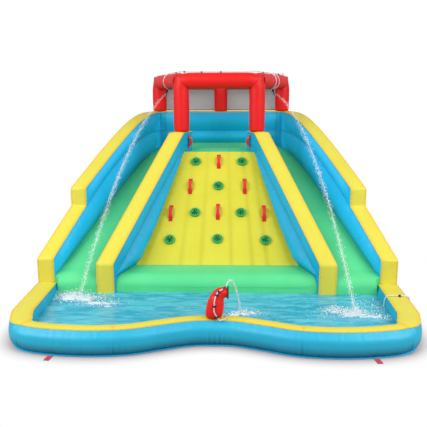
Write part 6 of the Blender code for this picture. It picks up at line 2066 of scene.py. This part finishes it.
turned("sleeve_strap", ring, tie_place, BLACK_WEB, sides=96, looped=True)
buckle = tie_place @ Matrix.Translation((strap_out + 0.002, 0, 0))
half = 0.016
corners = [
    (x, y, z)
    for x in (-0.0028, 0.0036)
    for y, z in ((-half, -half), (half, -half), (half, half), (-half, half))
]
faces = [(0, 3, 2, 1), (4, 5, 6, 7)] + [(k, (k + 1) % 4, 4 + (k + 1) % 4, 4 + k) for k in range(4)]
mesh_of("sleeve_buckle", [buckle @ Vector(c) for c in corners], faces, BLACK)

# Blower: the rings moulded round its intake, the screws of its grille and the bolts through its lugs
BLOWER_AT = Vector((-0.45, 3.6613, 0.21))
INTAKE_FACE = 0.065
SCREW_AT = 0.053
LUG_AT, LUG_HALF = 0.1675, 0.0119
intake = frame_at(BLOWER_AT + Vector((INTAKE_FACE, 0, 0)), (1, 0, 0), (0, 0, 1))
intake_rings = (("intake_ring_inner", 0.0700, 0.016, 0.009), ("intake_ring_outer", 0.1020, 0.010, 0.004))
for name, radius, wide, tall in intake_rings:
    ring = ((radius, -0.001), (radius, tall * 0.7), (radius + 0.002, tall), (radius + wide * 0.5, tall))
    ring += ((radius + wide, 0.001), (radius + wide, -0.001))
    turned(name, ring, intake, BLOWER_YELLOW, sides=96, looped=True)
for n in range(3):
    angle = math.radians(90 + 120 * n)
    spot = intake @ Matrix.Translation((SCREW_AT * math.cos(angle), SCREW_AT * math.sin(angle), 0.0030))
    screw = ((0.0036, -0.0005), (0.0036, 0.0010), (0.0026, 0.0019), (0.0008, 0.0019))
    turned(f"grille_screw_{n}", screw, spot, STEEL, sides=24)
LUG_FIRST, LUG_LAST, LUG_COUNT = math.radians(-90) + 0.5, math.radians(188) - 0.15, 7
for n in range(LUG_COUNT):
    angle = mix(LUG_FIRST, LUG_LAST, n / (LUG_COUNT - 1))
    middle = BLOWER_AT + Vector((0, LUG_AT * math.cos(angle), LUG_AT * math.sin(angle)))
    for label, way in (("head", 1), ("nut", -1)):
        place = frame_at(middle + Vector((way * LUG_HALF, 0, 0)), (way, 0, 0), (0, 0, 1))
        bolt = (
            (0.0052, 0.0),
            (0.0052, 0.0036),
            (0.0042, 0.0048),
            (0.0022, 0.0048),
            (0.0020, 0.0034),
            (0.0004, 0.0034),
        )
        sides = 6 if way < 0 else 24
        turned(f"joint_bolt_{label}_{n}", bolt, place, STEEL, sides=sides, sharp=30.0)

# Water in the pool: ripples run from the slides to the front, with rings round each splash
# Each splash has its place and its half width
SPLASHES = ((-1.500, -0.240, 0.28), (1.440, -0.620, 0.28), (0.280, -0.650, 0.16))
inner_line = [p - n * (POOL_TUBE_W / 2 - 0.004) for p, n in pool if p.y < -0.62]
line_x, line_y = np.array([p.x for p in inner_line]), np.array([p.y for p in inner_line])
widest = line_x.max() - 0.001
columns, rows = 330, 150
xs = np.linspace(-widest, widest, columns)
front_y = np.interp(xs, line_x, line_y)
back_y = np.where(np.abs(xs) < 1.144, 0.004, -0.026)
shares = np.linspace(0, 1, rows)
wx = np.repeat(xs[:, None], rows, axis=1)
wy = front_y[:, None] + (back_y - front_y)[:, None] * shares[None, :]
dice = np.random.default_rng(500)
wave = np.zeros_like(wx)
for _ in range(26):
    angle = dice.normal(math.pi / 2, 0.34)
    length = dice.uniform(0.045, 0.17)
    phase = (wx * math.cos(angle) * 0.8 + wy * math.sin(angle)) / length
    turn = 2 * math.pi * (phase + dice.random())
    drift = 1.2 * np.sin(wx * dice.uniform(2, 6) + dice.random() * 6)
    wave += 0.00042 * (length / 0.1) ** 0.8 * np.sin(turn + drift)
for x, y, wide in SPLASHES:
    away = np.sqrt(((wx - x) / 1.25) ** 2 + ((wy - y) * 1.1) ** 2)
    wave += 0.006 * np.exp(-away / 0.20) * np.sin(2 * math.pi * away / 0.062 - 1.2)
    churn = 0.004 * np.exp(-((away / (wide * 0.6)) ** 2)) * np.abs(np.sin(wx * 90 + 3 * np.sin(wy * 70)))
    wave += churn * np.abs(np.sin(wy * 110 + 2 * np.sin(wx * 60)))
top = np.stack([wx, wy, WATER_Z + wave], axis=2).reshape(-1, 3)
base = np.stack([wx, wy, np.full_like(wx, SHEET_T + 0.001)], axis=2).reshape(-1, 3)
i, j = np.meshgrid(np.arange(columns - 1), np.arange(rows - 1), indexing="ij")
a = (i * rows + j).ravel()
quads = np.stack([a, a + rows, a + rows + 1, a + 1], axis=1)
count = columns * rows
faces = quads.tolist() + (quads[:, ::-1] + count).tolist()
rim = [n * rows for n in range(columns)] + [(columns - 1) * rows + n for n in range(1, rows)]
rim += [n * rows + rows - 1 for n in range(columns - 2, -1, -1)] + list(range(rows - 2, 0, -1))
faces += [(q, p, p + count, q + count) for p, q in zip(rim, rim[1:] + rim[:1])]
mesh_of("pool_water", np.vstack([top, base]), faces, WATER, sharp=80.0)


def water_height(x, y):
    k = int(np.clip(round((x + widest) / (2 * widest) * (columns - 1)), 0, columns - 1))
    share = np.clip((y - front_y[k]) / (back_y[k] - front_y[k]), 0, 1)
    return float(WATER_Z + wave[k, int(round(share * (rows - 1)))])


# Foam where the jets land: uneven rafts of bubbles under a crown of spray. Each has its place and half sizes
RAFTS = (
    (-1.580, -0.215, 0.120, 0.060), (-1.440, -0.255, 0.090, 0.040),
    (-1.270, -0.375, 0.095, 0.013), (-1.140, -0.462, 0.034, 0.011),
    (1.410, -0.655, 0.110, 0.048), (1.250, -0.590, 0.050, 0.020), (1.590, -0.715, 0.100, 0.012),
    (0.272, -0.655, 0.070, 0.032), (0.370, -0.640, 0.045, 0.018), (0.200, -0.690, 0.040, 0.014),
)
for number, (x0, y0, wide, deep) in enumerate(RAFTS):
    dice = np.random.default_rng(600 + number)
    rings, spokes = 20, 96
    ways = 2 * math.pi * np.arange(spokes) / spokes
    ragged = 1
    for deep_share, lobes in ((0.20, 3), (0.14, 7), (0.10, 17)):
        ragged = ragged + deep_share * np.sin(lobes * ways + dice.random() * 6)
    grid = []
    for k in range(rings):
        t = 1 - k / (rings - 0.5)
        px = x0 + wide * t * ragged * np.cos(ways)
        py = np.minimum(y0 + deep * t * ragged * np.sin(ways), -0.045)
        heap = (1 - t**2) * 0.11 * min(wide, 2 * deep)
        bubble = 0.008 * np.abs(np.sin(px * 170 + 2 * np.sin(py * 120)))
        bubble = (
            bubble * np.abs(np.sin(py * 190 + 2 * np.sin(px * 140)))
            + 0.004 * np.abs(np.sin(px * 410 + py * 290))
        )
        rim_share = min(1.0, (1 - t) / 0.15)
        z = [water_height(a, b) - 0.004 + (0.004 + heap + c) * rim_share for a, b, c in zip(px, py, bubble)]
        grid.append(np.stack([px, py, z], axis=1))
    floor_ring = grid[0].copy()
    floor_ring[:, 2] = WATER_Z - 0.022
    faces = [tuple(range(spokes))]
    for k in range(rings):
        for n in range(spokes):
            m = (n + 1) % spokes
            faces.append((k * spokes + n, k * spokes + m, (k + 1) * spokes + m, (k + 1) * spokes + n))
    faces.append(tuple(range(rings * spokes, (rings + 1) * spokes))[::-1])
    mesh_of(f"foam_{number}", np.vstack([floor_ring, *grid]), faces, FOAM, sharp=80.0)
# Each cluster of drops has its place, its spread each way, its height and its count
CROWNS = (
    (
        (-1.580, -0.210, 0.115, 0.050, 0.100, 900), (-1.440, -0.250, 0.120, 0.045, 0.060, 600),
        (-1.235, -0.395, 0.105, 0.030, 0.022, 420),
        (-1.560, -0.110, 0.130, 0.030, 0.160, 260), (-1.400, -0.300, 0.260, 0.100, 0.020, 200),
    ),
    (
        (1.410, -0.650, 0.095, 0.045, 0.120, 900), (1.250, -0.585, 0.065, 0.045, 0.110, 420),
        (1.610, -0.715, 0.130, 0.028, 0.024, 320), (1.450, -0.620, 0.022, 0.020, 0.170, 160),
        (1.660, -0.430, 0.120, 0.120, 0.025, 170), (1.450, -0.640, 0.270, 0.110, 0.022, 200),
    ),
    (
        (0.272, -0.655, 0.060, 0.024, 0.080, 420),
        (0.360, -0.640, 0.055, 0.022, 0.035, 160),
        (0.280, -0.660, 0.130, 0.050, 0.016, 160),
    ),
)
for number, clusters in enumerate(CROWNS):
    dice = np.random.default_rng(640 + number)
    points, aims, lifts, sizes = [], [], [], []
    for x0, y0, wide, deep, high, count in clusters:
        for _ in range(count):
            off_x, off_y = dice.normal(0, 1.0, 2)
            x, y = x0 + wide * off_x, min(y0 + deep * off_y, -0.040)
            if abs(x) > POOL_ARM_X - POOL_TUBE_W / 2 - 0.01 or y < np.interp(x, xs, front_y) + 0.01:
                continue
            height = high * math.exp(-0.5 * math.hypot(off_x, off_y)) * dice.beta(1.0, 2.2)
            size = float(np.clip(dice.lognormal(math.log(0.0038), 0.5), 0.0018, 0.011))
            points.append((x, y, water_height(x, y) + 0.003 + height))
            way = Vector((0.5 * off_x, 0.3 * off_y, 0.9 + dice.normal(0, 0.3))).normalized()
            aims.append(way)
            lifts.append((0, 0, 1) if abs(way.z) < 0.9 else (0, 1, 0))
            sizes.append((size * dice.uniform(1.0, 2.2 if dice.random() < 0.85 else 5.0), size, size))
    repeated(f"splash_drops_{number}", "drop", points, aims, lifts, sizes, SPRAY)


# Jets: strands that break into drops on the way down
STRAND_RINGS, STRAND_SIDES = 110, 6


def jet(name, start, land, sag, count, width, strands, seed, first=0.0015, grain=0.0030):
    """Water from start to land, of a count of drops and some strands, spread to a width.

    sag gives the two weights of its falling curve, first the radius of its strands and grain the size of its
    drops.
    """
    dice = np.random.default_rng(seed)
    start, land = Vector(start), Vector(land)

    def at(s):
        flat = mix(start, land, s)
        flat.z = start.z + (land.z - start.z) * (sag[0] * s + sag[1] * s * s) / (sag[0] + sag[1])
        return flat

    def way(s):
        return (at(min(1.0, s + 0.01)) - at(max(0.0, s - 0.01))).normalized()

    # The share of the plan distance at even steps of the path's length
    fine = np.linspace(0, 1, 400)
    steps = [0.0]
    for p, q in zip(fine, fine[1:]):
        steps.append(steps[-1] + (at(q) - at(p)).length)
    steps = np.array(steps) / steps[-1]
    points, aims, lifts, sizes = [], [], [], []
    for _ in range(count):
        t = dice.random() ** 0.8
        s = float(np.interp(t, steps, fine))
        along = way(s)
        across = along.cross(Vector((0, 1, 0))).normalized()
        deep = along.cross(across)
        spread_now = width * min(1.0, 0.22 + 4.0 * t)
        place = at(s) + across * dice.normal(0, spread_now) + deep * dice.normal(0, spread_now)
        if place.z < WATER_Z:
            continue
        size = float(np.clip(dice.lognormal(math.log(grain), 0.35), 0.0010, 2.2 * grain))
        points.append(place)
        aims.append((along + Vector(dice.normal(0, 0.08, 3))).normalized())
        lifts.append(deep)
        sizes.append((size * dice.uniform(2.5, 7.0), size, size))
    made = [repeated(f"{name}_drops", "drop", points, aims, lifts, sizes, SPRAY, body=None)]
    for n in range(strands):
        rings = []
        phase, far = dice.random() * 6, dice.uniform(0.15, 0.9)
        for k in range(STRAND_RINGS):
            t = k / (STRAND_RINGS - 1)
            s = float(np.interp(t, steps, fine))
            along = way(s)
            across = along.cross(Vector((0, 1, 0))).normalized()
            deep = along.cross(across)
            drift = width * far * min(1.0, 0.15 + 1.2 * t)
            centre = (
                at(s)
                + across * drift * math.cos(phase + 5 * t + n)
                + deep * drift * math.sin(phase + 4 * t + n)
            )
            neck = 0.55 + 0.45 * math.sin(phase + 60 * t + 4 * math.sin(17 * t))
            radius = max(0.0006, first * (1 + 0.4 * t) * neck)
            ways = [2 * math.pi * m / STRAND_SIDES for m in range(STRAND_SIDES)]
            rings.append([centre + (across * math.cos(a) + deep * math.sin(a)) * radius for a in ways])
        made.append(skin(f"{name}_strand_{n}", rings, SPRAY, fold=NO_FOLD, sharp=80.0, body=None))
    for piece in made:
        tuple(at(0.02))
        tuple(at(0.30))
        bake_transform(piece)


for label, side in SIDES:
    at, along, out, lift, seat, away = sprayers[side]
    tip = seat + away * SPRAY_REACH
    land = (-1.505, -0.205, WATER_Z) if side < 0 else (1.450, -0.609, WATER_Z)
    sag = (0.37, 0.63) if side < 0 else (0.118, 0.882)
    jet(f"side_jet_{label}", tip, land, sag, 3000, 0.016, 2, 700 + side, first=0.0011, grain=0.0021)
mouth_tip = cannon_route[-1] + jet_way.normalized() * JET_NOZZLE_L
jet(
    "cannon_jet",
    mouth_tip,
    (0.272, -0.647, WATER_Z),
    (-0.9, 2.2),
    620,
    0.0045,
    3,
    711,
    first=0.0019,
)
all_stitches = (("band_stitches", band_stitches, THREAD), ("strap_stitches", strap_stitches, STRAP_THREAD))
for name, sewn, material in all_stitches:
    repeated(name, "stitch", sewn.points, sewn.aims, sewn.lifts, sewn.sizes, material)
for shape in SHAPES.values():
    bpy.data.objects.remove(shape)

# Pieces that keep their CAD shape
dress = {
    "cannon_mouth_ring": BLACK,
    "hose_tee": BLACK,
    "hose_coupling": BLOWER_YELLOW,
    "blower_switch": BLACK,
    "blower_motor": STEEL,
    "blower_housing_front": BLOWER_YELLOW,
    "blower_housing_back": BLOWER_YELLOW,
    "blower_outlet_collar": BLOWER_YELLOW,
    "blower_grille": BLOWER_GREEN,
    "blower_impeller": BLACK,
}
for label, _ in SIDES:
    dress.update({f"spray_mount_{label}": BLACK, f"spray_nozzle_{label}": BLACK})
for node, material in dress.items():
    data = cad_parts[node].data
    data.materials.clear()
    data.materials.append(material)

# Floor, world and lamps
WHITE = (1.0, 1.0, 1.0, 1.0)
made, tree, floor_skin = new_material("matt studio floor")
floor_skin.inputs["Roughness"].default_value = 0.9
light_path = add(tree, "ShaderNodeLightPath")
# It throws back a third of its light, so that the lower half of each tube turns darker, as in the photograph
# To the camera it is grey-pink instead, the colour of a painted contact shadow
paint = add(
    tree,
    "ShaderNodeMix",
    {0: light_path.outputs["Is Camera Ray"], 6: linear("#A2A2A2"), 7: linear("#C6BCBB")},
    data_type="RGBA",
)
tree.links.new(paint.outputs[2], floor_skin.inputs["Base Color"])
glow = add(tree, "ShaderNodeEmission", {"Color": WHITE, "Strength": 1.0})
# The floor turns to the white of the background away from the object. Close to it, where ambient occlusion
# finds the object near, it keeps its grey-pink colour and its shadow: a painted contact shadow over the real
# one.
painted_contact_shadow = add(tree, "ShaderNodeAmbientOcclusion", {"Distance": 0.20}, samples=8)
share = add(tree, "ShaderNodeMapRange", {"Value": painted_contact_shadow.outputs["AO"], 1: 0.50, 2: 0.93, 3: 0.0, 4: 1.0})
seen = add(
    tree,
    "ShaderNodeMath",
    {0: light_path.outputs["Is Camera Ray"], 1: share.outputs[0]},
    operation="MULTIPLY",
)
blended = add(tree, "ShaderNodeMixShader", {0: seen.outputs[0], 1: floor_skin.outputs[0], 2: glow.outputs[0]})
tree.links.new(blended.outputs[0], tree.nodes["Material Output"].inputs["Surface"])
data = bpy.data.meshes.new("floor")
data.from_pydata([(-14, -12, 0), (14, -12, 0), (14, 16, 0), (-14, 16, 0)], [], [(0, 1, 2, 3)])
data.materials.append(made)
floor = put("floor", data)

world = bpy.data.worlds.new("studio")
bpy.context.scene.world = world
world.use_nodes = True
tree = world.node_tree
tree.nodes.clear()
path = add(tree, "ShaderNodeLightPath")
clear = add(
    tree,
    "ShaderNodeMath",
    {0: path.outputs["Is Camera Ray"], 1: path.outputs["Is Transmission Ray"]},
    operation="MAXIMUM",
)
seen = add(tree, "ShaderNodeBackground", {"Color": WHITE, "Strength": 1.0})
room = add(tree, "ShaderNodeBackground", {"Color": WHITE, "Strength": 0.48})
joined = add(tree, "ShaderNodeMixShader", {0: clear.outputs[0], 1: room.outputs[0], 2: seen.outputs[0]})
add(tree, "ShaderNodeOutputWorld", {"Surface": joined.outputs[0]})


def lamp(name, place, target, size, power):
    """A soft box that faces a target."""
    made = put(name, bpy.data.lights.new(name, "AREA"))
    made.data.shape = "SQUARE"
    made.data.size = size
    made.data.energy = power
    way = (Vector(target) - Vector(place)).normalized()
    made.matrix_world = Matrix.Translation(place) @ way.to_track_quat("-Z", "Y").to_matrix().to_4x4()


lamp("left soft box", (-6.6, -4.4, 6.4), (0, 0.8, 0.8), 7.0, 700.0)
lamp("right soft box", (6.6, -4.4, 6.4), (0, 0.8, 0.8), 7.0, 640.0)
bpy.context.scene.view_settings.view_transform = "Standard"
